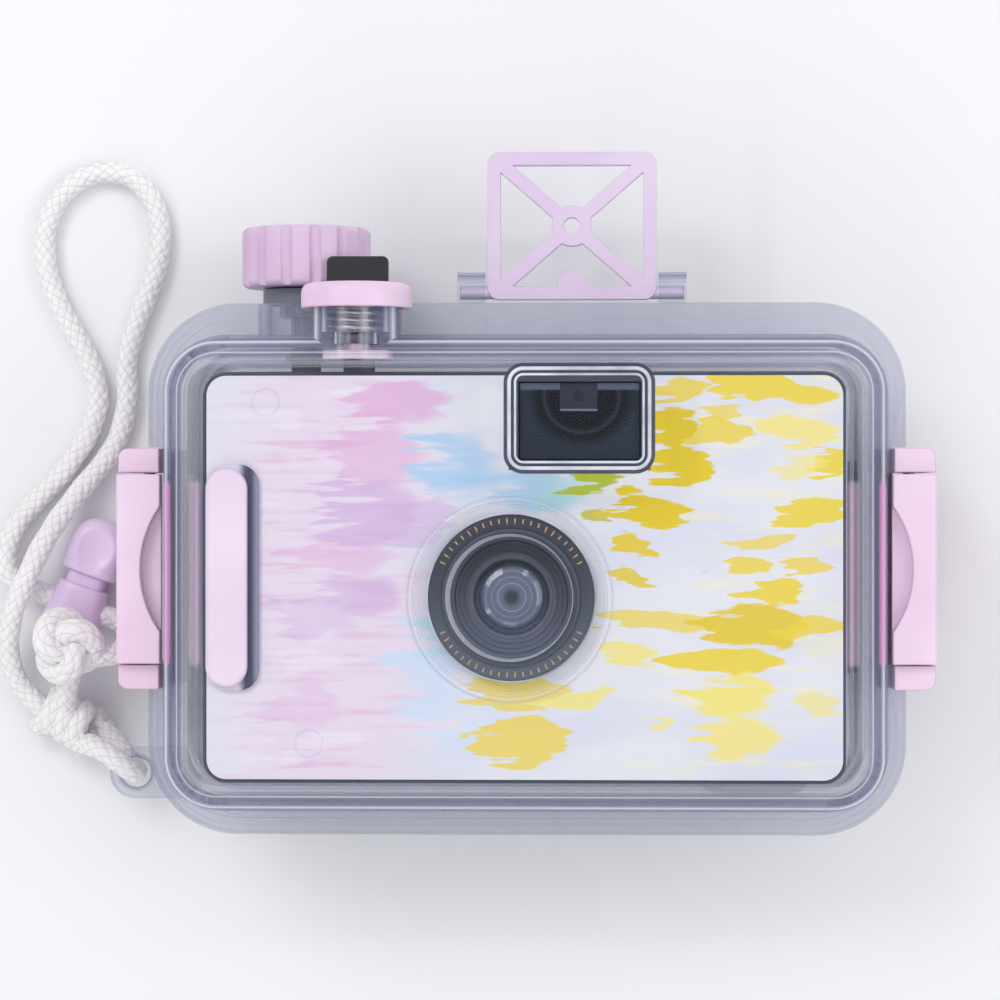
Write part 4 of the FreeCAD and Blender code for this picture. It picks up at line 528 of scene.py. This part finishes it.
def bracket_finish():
    """The latch brackets: pale pink ears, and a stronger pink on the strip under the clear flange."""
    made = Finish("pink_bracket", tint(240, 213, 234), 0.36, subsurface_weight=0.08)
    x, y, z = made.place()
    under = (1.0 - z.step(24.6, 25.4)) * (1.0 - y.size().step(15.8, 16.0))
    strip = made.mix(x.size().step(59.2, 60.6), tint(240, 196, 230), tint(214, 150, 204))
    pale = made.mix(made.drift(), tint(240, 213, 234), tint(233, 198, 225))
    made.set("Base Color", made.mix(under, pale, strip))
    made.grain(GRAIN, 0.06, 0.36, 0.0005)
    return made.material


def trim_finish():
    """The step round the grip bar: pale round its left side, dark at its foot as painted shade from the bar,
    and paler at its outer edge.
    """
    made = Finish("grip_trim", tint(64, 68, 90), 0.4)
    across = made.place()[0] - GRIP_X
    # Dark at its foot beside the bar, fading paler outwards: painted shade from the bar.
    colour = made.mix(across.step(3.9, 5.0), tint(62, 66, 88), tint(134, 134, 160))
    made.set("Base Color", made.mix(across.step(1.6, 3.2), tint(208, 204, 222), colour))
    made.grain(GRAIN, 0.08, 0.4, 0.0003)
    return made.material


def rope_finish():
    """White braid on the rope's own surface map: painted shade in the grooves round the strand that lies on
    top, and soft fibre along it."""
    made = Finish("white_braid", tint(236, 234, 234), 0.85, sheen_weight=0.3)
    around, along = made.along()
    left = around * STRANDS + along
    right = around * STRANDS - along + ABOVE_ZERO
    under = (left - left.part() + right - right.part() + 0.5).odd()
    over = left.part() * (1.0 - under) + right.part() * under
    length = right * (1.0 - under) + left * under
    # Darker in the grooves between strands: painted shade.
    groove_shade = (over - 0.5).size().step(0.34, 0.5)
    fibre = made.noise(made.vector(over * 9.0, length * 1.6, left - left.part()), 1.0, 3.0, 0.7)
    shade = groove_shade * 0.7 + (fibre - 0.5) * 0.6
    made.set("Base Color", made.mix(shade.step(0.0, 1.0), tint(248, 246, 246), tint(212, 209, 214)))
    made.bump(fibre, 0.5, 0.0003)
    return made.material


GLASS_REFLECTION_CIRCLES = [(2.3, 0.16, 0.55), (3.3, 0.12, 0.45), (4.3, 0.3, 0.3)]     # radius, half width, strength


def glass_finish():
    """Coated front glass: painted shade at its dark heart, thin pale circles of painted reflection and a
    blue-grey rim.
    """
    made = Finish("lens_glass", tint(70, 84, 104), 0.08, coat_weight=0.3, coat_roughness=0.05)
    reach = lens_reach(made)[3]
    # Dark at the heart: painted shade.
    colour = made.mix(reach.step(0.6, 1.9), tint(44, 48, 60), tint(92, 100, 122))
    for radius, wide, share in GLASS_REFLECTION_CIRCLES:
        # Thin pale circles: painted reflections.
        colour = made.mix(reach.near(radius, wide * 0.3, wide) * share, colour, tint(142, 152, 176))
    made.set("Base Color", made.mix(reach.step(4.4, 5.4) * 0.7, colour, tint(66, 74, 92)))
    return made.material


finishes = {
    "clear": clear_finish(),
    "pink": plain("pink_plastic", tint(240, 213, 234), 0.36, strength=0.06, deep=tint(233, 198, 225),
                  edge=0.0005, subsurface_weight=0.08),
    "frame": plain("pink_frame", tint(225, 206, 231), 0.38, strength=0.05, deep=tint(216, 194, 224),
                   edge=0.0003),
    "bracket": bracket_finish(),
    "knob": plain("pink_knob", tint(226, 200, 226), 0.38, strength=0.06, deep=tint(212, 182, 214),
                  edge=0.0005),
    "grip": plain("pink_grip", tint(232, 214, 232), 0.4, strength=0.06, deep=tint(226, 204, 227),
                  edge=0.0005),
    "lilac": plain("lilac_plastic", tint(232, 213, 239), 0.3, strength=0.04, deep=tint(218, 192, 228)),
    "guard": plain("guard_black", tint(30, 31, 36), 0.2, strength=0.05, edge=0.0004, coat_weight=0.4),
    "body": body_finish(),
    "works": plain("works_grey", tint(120, 126, 140), 0.5),
    "dial": plain("dial_white", tint(225, 225, 228), 0.45),
    "trim": trim_finish(),
    "barrel": barrel_finish(),
    "window": window_finish(),
    "tunnel": plain("finder_tunnel_black", tint(30, 34, 44), 0.45, strength=0.03),
    # Beads of painted shade on the finder bulge.
    "painted_shade_line": plain("painted_shade_line", tint(60, 64, 88), 0.3, alpha=0.75),
    "door": plain("camera_back", tint(170, 176, 194), 0.4),
    "dark_seal": plain("dark_rubber", tint(74, 72, 92), 0.5),
    "seal": plain("seal_rubber", tint(158, 152, 176), 0.55),
    "steel": plain("steel", tint(178, 180, 186), 0.3, metallic=1.0),
    "print": print_finish(),
    "bezel": bezel_finish(),
    "ring": ring_finish(),
    "rope": rope_finish(),
    # Beads of painted highlight on the finder bulge and the bezel's edge.
    "bright": plain("painted_highlight_line", tint(240, 242, 250), 0.2, deep=tint(176, 182, 200), change=0.14,
                    alpha=0.8),
    "glass": glass_finish(),
}
WEARS = {
    "clear": ["rear_shell", "front_shell"],
    "bracket": ["latch_bracket_left", "latch_bracket_right"],
    "pink": ["latch_lever_left", "latch_lever_right", "shutter_cap", "shutter_stem", "stem_foot"],
    "frame": ["sight_frame"],
    "knob": ["wind_knob"],
    "grip": ["grip_bar"],
    "lilac": ["cord_lock_body", "cord_lock_plunger"],
    "guard": ["button_guard"],
    "body": ["front_cover", "chassis", "shutter_plate", "aperture_plate"],
    "door": ["film_door"],
    "tunnel": ["finder_tunnel"],
    "works": ["wind_shaft", "advance_wheel", "take_up_spool", "sprocket", "rewind_knob", "rewind_fork",
              "release_button", "wind_collar"],
    "dial": ["counter_dial"],
    "trim": ["grip_trim"],
    "barrel": ["lens_barrel"],
    "window": ["finder_front_lens", "finder_rear_lens"],
    "seal": ["case_gasket"],
    "dark_seal": ["wind_seal", "shutter_seal"],
    "steel": ["latch_pin_left", "latch_pin_right", "door_hinge_pin", "wind_screw", "shutter_spring",
              "cord_lock_spring", "pressure_spring", "blade_pin", "shutter_blade", "pressure_plate"],
    "print": ["print_panel"],
    "bezel": ["lens_bezel"],
    "ring": ["lens_ring"],
    "glass": ["front_lens", "rear_lens"],
    "rope": ["strap_loop", "strap_lug_loop", "strap_knot", "strap_hitch"],
}


def dress_solids():
    """Give each solid its finish."""
    for finish, names in WEARS.items():
        for name in names:
            mesh = nodes[name].data
            mesh.materials.clear()
            mesh.materials.append(finishes[finish])


dress_solids()


# Surfaces worked out as grids of points.

def skin(name, grid, finish, spread=None, loop=False):
    """A closed mesh through a grid of points: rows run along the piece and columns round it.

    spread is the same grid of surface coordinates. The first and last rows are closed with a centre point,
    unless a loop joins the last row to the first.
    """
    rows, columns = grid.shape[:2]
    here = np.arange(rows * columns).reshape(rows, columns)
    if loop:
        here = np.vstack([here, here[:1]])
    after = np.roll(here, -1, axis=1)
    points = grid.reshape(-1, 3)
    faces = np.stack([here[:-1], here[1:], after[1:], after[:-1]], axis=-1).reshape(-1, 4).tolist()
    if not loop:
        first, last = (np.full(columns, rows * columns + end) for end in (0, 1))
        points = np.vstack([points, grid[0].mean(axis=0), grid[-1].mean(axis=0)])
        faces += np.stack([here[0], after[0], first], axis=-1).tolist()
        faces += np.stack([after[-1], here[-1], last], axis=-1).tolist()
    mesh = bpy.data.meshes.new(name)
    mesh.from_pydata((points * MM).tolist(), [], faces)
    if spread is not None:
        wrapped = np.concatenate([spread, spread[:, :1] + [1.0, 0.0]], axis=1)
        corners = [wrapped[:-1, :-1], wrapped[1:, :-1], wrapped[1:, 1:], wrapped[:-1, 1:]]
        sides = np.stack(corners, axis=2).reshape(-1, 2)
        caps = np.zeros((len(mesh.loops) - len(sides), 2))
        mesh.uv_layers.new(name="surface").data.foreach_set("uv", np.vstack([sides, caps]).ravel())
    mesh.shade_smooth()
    mesh.materials.append(finishes[finish])
    piece = bpy.data.objects.new(name, mesh)
    bpy.context.scene.collection.objects.link(piece)
    return piece


def follow(path, step):
    """Points at equal steps along a line of points, with each one's unit direction and distance along."""
    spans = np.linalg.norm(np.diff(path, axis=0), axis=1)
    path = path[np.concatenate([[True], spans > 1e-7])]
    reach = np.concatenate([[0.0], np.cumsum(np.linalg.norm(np.diff(path, axis=0), axis=1))])
    stops = np.linspace(0.0, reach[-1], max(int(reach[-1] / step), 8) + 1)
    points = np.stack([np.interp(stops, reach, path[:, axis]) for axis in range(3)], axis=1)
    way = np.gradient(points, stops, axis=0)
    return points, way / np.linalg.norm(way, axis=1)[:, None], stops


CLIMB = 1.2         # radii along the rope from one crossing of a strand to the next
GROOVE = 0.16       # depth of the grooves between strands, in radii
WOBBLE = 0.035      # how far the rope is from round, in radii


def rope(name, path, radius, side=FORWARD, step=0.22, around=44, taper=0.0):
    """A braided tube along a line of points in millimetres.

    Each point is path + radius * (1 + weave) * (cos a * aside + sin a * up). The weave is a herringbone: two
    families of strands climb round the rope in opposite ways and pass over each other in turn. A taper draws
    the ends in, and one below zero spreads them.
    """
    points, way, stops = follow(path, step)
    aside = np.cross(way, np.array(side))
    aside /= np.linalg.norm(aside, axis=1)[:, None]
    up = np.cross(aside, way)
    angle = np.linspace(0.0, 2.0 * np.pi, around, endpoint=False)
    turn, climb = angle / (2.0 * np.pi), stops / (radius * CLIMB)
    left = STRANDS * turn[None, :] + climb[:, None]
    right = STRANDS * turn[None, :] - climb[:, None] + ABOVE_ZERO
    over = np.where((np.floor(left) + np.floor(right)) % 2 == 0, left % 1.0, right % 1.0)
    weave = GROOVE * (np.abs(np.sin(np.pi * over)) ** 0.7 - 1.0)
    weave = weave + WOBBLE * np.sin(stops * 0.9)[:, None] * np.sin(2.0 * angle + 1.0)[None, :]
    ends = np.minimum(stops, stops[-1] - stops) / radius
    close = 1.0 - taper * np.clip(1.0 - ends, 0.0, 1.0) ** 2
    size = radius * (1.0 + weave) * close[:, None]
    ring = np.cos(angle)[None, :, None] * aside[:, None, :] + np.sin(angle)[None, :, None] * up[:, None, :]
    grid = points[:, None, :] + size[:, :, None] * ring
    spread = np.stack(np.broadcast_arrays(turn[None, :], climb[:, None]), axis=2)
    return skin(name, grid, "rope", spread=spread)


def smooth_line(name, route):
    """The points, in millimetres, along a smooth spline of order 3 whose control points are the route's.

    The route is in metres, as the solids' rope has it.
    """
    data = bpy.data.curves.new(name, "CURVE")
    data.dimensions = "3D"
    data.resolution_u = 16
    spline = data.splines.new("NURBS")
    spline.points.add(len(route) - 1)
    for point, place in zip(spline.points, route):
        point.co = (*place, 1.0)
    spline.order_u = 3
    spline.use_endpoint_u = True
    line = bpy.data.objects.new(name, data)
    bpy.context.scene.collection.objects.link(line)
    mesh = bpy.data.meshes.new_from_object(line)
    points = np.empty(len(mesh.vertices) * 3)
    mesh.vertices.foreach_get("co", points)
    bpy.data.objects.remove(line)
    bpy.data.meshes.remove(mesh)
    return points.reshape(-1, 3) / MM


def fit(piece, replaced=None, body="case"):
    """Fix a piece to a body and hide the solid that it stands for."""
    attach(piece, body)
    if replaced:
        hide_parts(replaced)
    return piece


# The wrist strap: one rope from the hitch through the knot, the cord lock and the loop, back to the hitch.

LOOP_ROUTE = [
    (-0.0806, -0.0272, 0.0049), (-0.0805, -0.0225, 0.0095), (-0.0780, -0.0155, 0.0123),
    (-0.0703, -0.0156, 0.0096), (-0.0694, -0.01053, 0.0039), (-0.07664, -0.0079, 0.0039),
    (-0.08493, -0.00489, 0.0039), (-0.0916, -0.00246, 0.0039), (-0.0914, 0.0046, 0.0030),
    (-0.0882, 0.0096, 0.0021), (-0.0818, 0.0158, 0.0020), (-0.0768, 0.0234, 0.0020),
    (-0.0752, 0.0296, 0.0020), (-0.0772, 0.0366, 0.0020), (-0.0816, 0.0434, 0.0020),
    (-0.0852, 0.0520, 0.0020), (-0.0848, 0.0616, 0.0020), (-0.0786, 0.0686, 0.0020),
    (-0.0698, 0.0690, 0.0020), (-0.0646, 0.0620, 0.0020), (-0.0648, 0.0526, 0.0020),
    (-0.0686, 0.0432, 0.0020), (-0.0709, 0.0356, 0.0020), (-0.0702, 0.0286, 0.0020),
    (-0.0724, 0.0204, 0.0021), (-0.0783, 0.0134, 0.0040), (-0.0837, 0.0053, 0.0078),
    (-0.0872, -0.0024, 0.0096), (-0.0900, -0.0090, 0.0086), (-0.0909, -0.0156, 0.0058),
    (-0.0892, -0.0214, 0.0039), (-0.0846, -0.0254, 0.0040),
]
LUG_ROUTE = [
    (-0.07576, -0.02680, 0.00304), (-0.0682, -0.0358, 0.00304), (-0.0682, -0.0358, 0.01096),
    (-0.07439, -0.03085, 0.01096), (-0.07892, -0.03076, 0.0047),
]
KNOT = np.array([-79.5, -13.7, 12.5])                               # middle of the ball knot, mm
LOBES = np.array([1.5, 1.62, 2.5])                                  # size of its winding across, up and out
HITCH = np.array([[-83.0, -24.9, 4.7], [-77.2, -28.6, 4.7]])        # ends of the hitch's axis, mm
CUT_TIPS = np.array([[-86.2, -28.6, 3.2], [-77.6, -32.6, 3.4]])     # where the two cut ends stop, mm


def make_cord(name, route, replaced, side=FORWARD):
    """A rope along the spline of a route, and its line's points in millimetres."""
    path = smooth_line(name + "_line", route)
    return fit(rope(name, path, ROPE / 2, side=side), replaced), path


def declare_cord(loop, path, on_it):
    """Work out the rope's first point and its line in metres, and keep neither. The pieces that are tied in
    it or threaded on it are not used.
    """
    tuple(path[0] * MM)
    (path * MM).tolist()


def make_knot():
    """A ball knot: the rope laid along a three-lobed closed curve drawn in till its turns meet.

    The curve is (2 + cos 3t) * (cos 2t, sin 2t) across and up, and sin 3t outwards, each times its own size.
    """
    turn = np.linspace(0.0, 2.0 * np.pi, 241)
    spread = 2.0 + np.cos(3.0 * turn)
    curve = np.stack([spread * np.cos(2.0 * turn), spread * np.sin(2.0 * turn), np.sin(3.0 * turn)], axis=1)
    knot = rope("strap_ball_knot", KNOT + curve * LOBES, 2.15, side=(0.05, 0.1, 1.0), step=0.3, around=40)
    return fit(knot, "strap_knot")


def make_hitch():
    """Three tight turns of rope round the strands, with two short cut ends.

    The turns' line is middle + along * s + 2.7 cos t * across + 2.6 sin t * forward, with s rising with t.
    """
    middle, along = HITCH.mean(axis=0), HITCH[1] - HITCH[0]
    along = along / np.linalg.norm(along)
    across = np.array([-along[1], along[0], 0.0])
    turn = np.linspace(0.0, 6.0 * np.pi, 181)[:, None]
    curve = (middle + along * (turn / turn[-1] - 0.5) * 7.6
             + across * 2.7 * np.cos(turn) + FORWARD * 2.6 * np.sin(turn))
    turns = rope("strap_hitch_turns", curve, 1.95, step=0.3, side=along, around=40)
    made = [fit(turns, "strap_hitch")]
    for number, (start, tip) in enumerate(zip((HITCH[0], middle), CUT_TIPS), 1):
        end = rope(f"strap_cut_end_{number}", np.linspace(start, tip, 24), 1.8, step=0.3, taper=-0.14)
        made.append(fit(end))
    return made


strap = make_cord("strap_rope", LOOP_ROUTE, "strap_loop")
lug_strap = make_cord("strap_lug_rope", LUG_ROUTE, "strap_lug_loop", side=(0.625, 0.781, 0.0))
strap_pieces = [make_knot(), *make_hitch()]


# The cord lock: a bell-shaped barrel and a domed plunger with a thumb dish.

LOCK_BASE = np.array([-81.8, -14.75, 3.9])      # middle of the lock's mouth, mm
LOCK_LEAN = math.radians(70.0)
LOCK_WAY = np.array([math.cos(LOCK_LEAN), math.sin(LOCK_LEAN), 0.0])
# Sections along the axis: distance from the mouth, half the width and half the height, mm.
BARREL_SHAPE = [
    (0.0, 2.6, 1.6), (0.25, 3.6, 2.5), (0.9, 4.6, 3.3), (2.0, 5.2, 3.7), (4.0, 5.4, 3.8), (6.5, 5.2, 3.75),
    (9.0, 4.8, 3.65), (11.2, 4.55, 3.55), (11.8, 4.4, 3.4), (12.0, 4.0, 3.0),
]
CAP_SHAPE = [
    (14.0, 4.3, 3.1), (14.15, 4.9, 3.6), (14.6, 5.15, 3.78), (15.3, 5.15, 3.78), (15.6, 4.95, 3.6),
    (16.0, 4.95, 3.62), (18.0, 5.1, 3.75), (20.0, 4.95, 3.65), (21.8, 4.3, 3.2), (23.0, 3.4, 2.6),
    (23.7, 2.3, 1.8), (24.0, 0.9, 0.7),
]
STEM_SHAPE = [(5.4, 3.4, 2.6), (14.4, 3.4, 2.6)]
DISH_RADIUS, DISH_AT, DISH_TOP = 12.0, 19.2, 3.75       # the thumb dish's sphere, its place and the cap's top


def lofted(name, shape, power, dish=0.0):
    """A closed skin of superellipse sections along the lock's axis.

    A section at distance s has the points (wide * c, tall * d) with |c|^power + |d|^power = 1. The shape's
    rows are s, wide and tall, with straight lines between them. A dish lowers the upper side to a sphere's
    surface.
    """
    rows = np.array(shape)
    stops = np.interp(np.linspace(0, len(rows) - 1, len(rows) * 5), np.arange(len(rows)), rows[:, 0])
    wide, tall = (np.interp(stops, rows[:, 0], rows[:, column]) for column in (1, 2))
    angle = np.linspace(0.0, 2.0 * np.pi, 64, endpoint=False)
    cosine, sine = np.cos(angle), np.sin(angle)
    across = wide[:, None] * np.sign(cosine) * np.abs(cosine) ** (2.0 / power)
    height = tall[:, None] * np.sign(sine) * np.abs(sine) ** (2.0 / power)
    if dish:
        room = DISH_RADIUS ** 2 - (stops[:, None] - DISH_AT) ** 2 - across ** 2
        height = np.minimum(height, DISH_TOP + DISH_RADIUS - dish - np.sqrt(np.maximum(room, 0.0)))
    aside = np.cross(LOCK_WAY, FORWARD)
    grid = (LOCK_BASE + stops[:, None, None] * LOCK_WAY + across[:, :, None] * aside
            + height[:, :, None] * FORWARD)
    return skin(name, grid, "lilac")


def make_cord_lock():
    """The barrel, and the cap and stem that slide in it."""
    return [
        fit(lofted("lock_barrel", BARREL_SHAPE, 2.7), "cord_lock_body"),
        fit(lofted("lock_cap", CAP_SHAPE, 2.5, dish=1.1), "cord_lock_plunger", "plunger"),
        fit(lofted("lock_stem", STEM_SHAPE, 4.0), body="plunger"),
    ]


strap_pieces += make_cord_lock()


# The two springs.

def make_spring(name, middle, way, radius, wire, turns, travel):
    """A wound wire as long as the solid spring; the share that the travel would shorten it by is worked out
    and not kept.

    Its line is middle + radius * outward(t) + way * s, with s rising evenly with t. The section round it is
    wire * (cos a * outward + sin a * binormal).
    """
    solid = nodes[name].data
    places = np.empty(len(solid.vertices) * 3)
    solid.vertices.foreach_get("co", places)
    reach = (places.reshape(-1, 3) / MM - middle) @ way
    low, high = reach.min() + wire, reach.max() - wire
    aside = np.cross(way, FORWARD)
    up = np.cross(aside, way)
    turn = np.linspace(0.0, 2.0 * np.pi * turns, int(turns * 40) + 1)[:, None]
    outward = np.cos(turn) * aside + np.sin(turn) * up
    path = middle + radius * outward + way * (low + (high - low) * turn / turn[-1])
    ahead = np.gradient(path, axis=0)
    ahead /= np.linalg.norm(ahead, axis=1)[:, None]
    angle = np.linspace(0.0, 2.0 * np.pi, 12, endpoint=False)[None, :, None]
    section = np.cos(angle) * outward[:, None] + np.sin(angle) * np.cross(outward, ahead)[:, None]
    coil = fit(skin(name + "_coil", path[:, None] + wire * section, "steel"), name)
    length = high - low + 2.0 * wire
    tuple((middle + way * (low - wire)) * MM)
    (length - travel) / length
    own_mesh(coil)
    return coil


def make_shutter_spring():
    """The spring round the shutter's stem, centred on the solid one."""
    corners = np.array(nodes["shutter_spring"].bound_box) / MM
    middle = (corners.min(axis=0) + corners.max(axis=0)) / 2.0
    upward = np.array([0.0, 1.0, 0.0])
    make_spring("shutter_spring", middle, upward, radius=4.7, wire=0.4, turns=5, travel=2.0)


def make_lock_spring():
    """The spring inside the cord lock."""
    return make_spring("cord_lock_spring", LOCK_BASE, LOCK_WAY, radius=1.8, wire=0.25, turns=3,
                       travel=1.8)


make_shutter_spring()
strap_pieces.append(make_lock_spring())
declare_cord(*strap, strap_pieces)
declare_cord(*lug_strap, [])


# Fine moulded lines: beads, rings and steps that lie on the solids, and beads of painted shade and painted
# highlight.

def rounded_path(left, right, low, top, corner):
    """Points round a rectangle with round corners, anticlockwise from the right side."""
    quarter = np.linspace(0.0, np.pi / 2, 12)
    centres = [(right - corner, top - corner), (left + corner, top - corner),
               (left + corner, low + corner), (right - corner, low + corner)]
    arcs = [np.stack([x + corner * np.cos(quarter + turn * np.pi / 2),
                      y + corner * np.sin(quarter + turn * np.pi / 2)], axis=1)
            for turn, (x, y) in enumerate(centres)]
    return np.vstack(arcs)


def circle_path(x, y, radius, count=72):
    """Points round a circle, anticlockwise."""
    turn = np.linspace(0.0, 2.0 * np.pi, count, endpoint=False)
    return np.stack([x + radius * np.cos(turn), y + radius * np.sin(turn)], axis=1)


BEAD_FLATNESS = 0.6     # height of a bead's section as a share of its width


def bead(name, outline, level, radius, finish):
    """A low bead along a closed outline at one level.

    Each point is outline + radius * cos a * out, at the height level + radius * flatness * sin a.
    """
    way = np.roll(outline, -1, axis=0) - np.roll(outline, 1, axis=0)
    way /= np.linalg.norm(way, axis=1)[:, None]
    out = np.stack([way[:, 1], -way[:, 0]], axis=1)
    turn = np.linspace(0.0, 2.0 * np.pi, 10, endpoint=False)
    flat = outline[:, None, :] + radius * np.cos(turn)[None, :, None] * out[:, None, :]
    rise = np.broadcast_to(level + radius * BEAD_FLATNESS * np.sin(turn)[None, :], flat.shape[:2])
    piece = skin(name, np.concatenate([flat, rise[:, :, None]], axis=2), finish, loop=True)
    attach(piece, "case")


# Sizes below are in millimetres. A frame is left, right, low, top and corner radius.
WALL_FOOT, WALL_FOOT_Z = (-59.6, 59.6, -39.9, 38.5, 9.5), 31.0
WINDOW, WINDOW_Z = (-52.9, 52.9, -34.6, 33.2, 4.4), 48.0
BULGE = (-3.1, 21.3, 15.6, 33.5, 3.2)
# The dark lines are painted shade and the bright ones painted highlights.
BULGE_LINES = [     # inset from the bulge's outline, level, radius, finish
    (0.35, 51.9, 0.3, "painted_shade_line"), (0.95, 51.9, 0.34, "bright"),
    (1.45, 52.0, 0.18, "painted_shade_line"), (1.9, 52.0, 0.2, "bright"),
]
LENS_LINES = [      # name, reach from the lens axis, level, radius, finish
    # The bezel's edge line is a painted highlight.
    ("port_edge_bead", 15.4, 54.0, 0.24, "clear"), ("bezel_edge_highlight", 13.62, 44.4, 0.22, "bright"),
]
MOULD_MARKS, MOULD_MARK_REACH = [(-41.7, 27.2), (-34.7, -27.9)], 2.2
BARREL_STEPS = [(9.0, 44.3), (8.2, 44.2), (7.4, 44.1), (6.6, 44.0)]     # reach from the lens axis, level


def inset_path(frame, inset):
    """Points round a frame drawn in by the inset on every side."""
    left, right, low, top, corner = frame
    return rounded_path(left + inset, right - inset, low + inset, top - inset, corner - inset)


def make_moulded_lines():
    """Clear beads round the wall's foot, the window, the port and the mould marks, the finder bulge's painted
    shade and painted highlight lines, the bezel's painted highlight line and the barrel's steps."""
    bead("wall_foot_bead", rounded_path(*WALL_FOOT), WALL_FOOT_Z, 0.45, "clear")
    bead("window_frame_bead", rounded_path(*WINDOW), WINDOW_Z, 0.3, "clear")
    for number, (inset, level, radius, finish) in enumerate(BULGE_LINES, 1):
        bead(f"bulge_shade_and_highlight_line_{number}", inset_path(BULGE, inset), level, radius, finish)
    for name, reach, level, radius, finish in LENS_LINES:
        bead(name, circle_path(*LENS_AXIS, reach), level, radius, finish)
    for number, (x, y) in enumerate(MOULD_MARKS, 1):
        bead(f"mould_ring_{number}", circle_path(x, y, MOULD_MARK_REACH, 36), WINDOW_Z, 0.16, "clear")
    for number, (reach, level) in enumerate(BARREL_STEPS, 1):
        bead(f"barrel_ring_{number}", circle_path(*LENS_AXIS, reach), level, 0.16, "barrel")


make_moulded_lines()


# Floor and background.

FLOOR_REACH = 4.0                           # half the floor's side, in metres
SURROUND, SURROUND_POWER = (0.92, 0.93, 0.95, 1.0), 0.72


def make_floor():
    """A pale floor under the case, and a white surround for the light and for what the gloss mirrors."""
    mesh = bpy.data.meshes.new("floor")
    corners = [(x * FLOOR_REACH, y * FLOOR_REACH, 0.0) for x, y in ((-1, -1), (1, -1), (1, 1), (-1, 1))]
    mesh.from_pydata(corners, [], [(0, 1, 2, 3)])
    mesh.materials.append(Finish("floor_pale", tint(240, 240, 242), 0.9).material)
    floor = bpy.data.objects.new("floor", mesh)
    bpy.context.scene.collection.objects.link(floor)
    world = bpy.data.worlds.new("surround")
    bpy.context.scene.world = world
    world.use_nodes = True
    background = world.node_tree.nodes["Background"]
    background.inputs["Color"].default_value = SURROUND
    background.inputs["Strength"].default_value = SURROUND_POWER


make_floor()
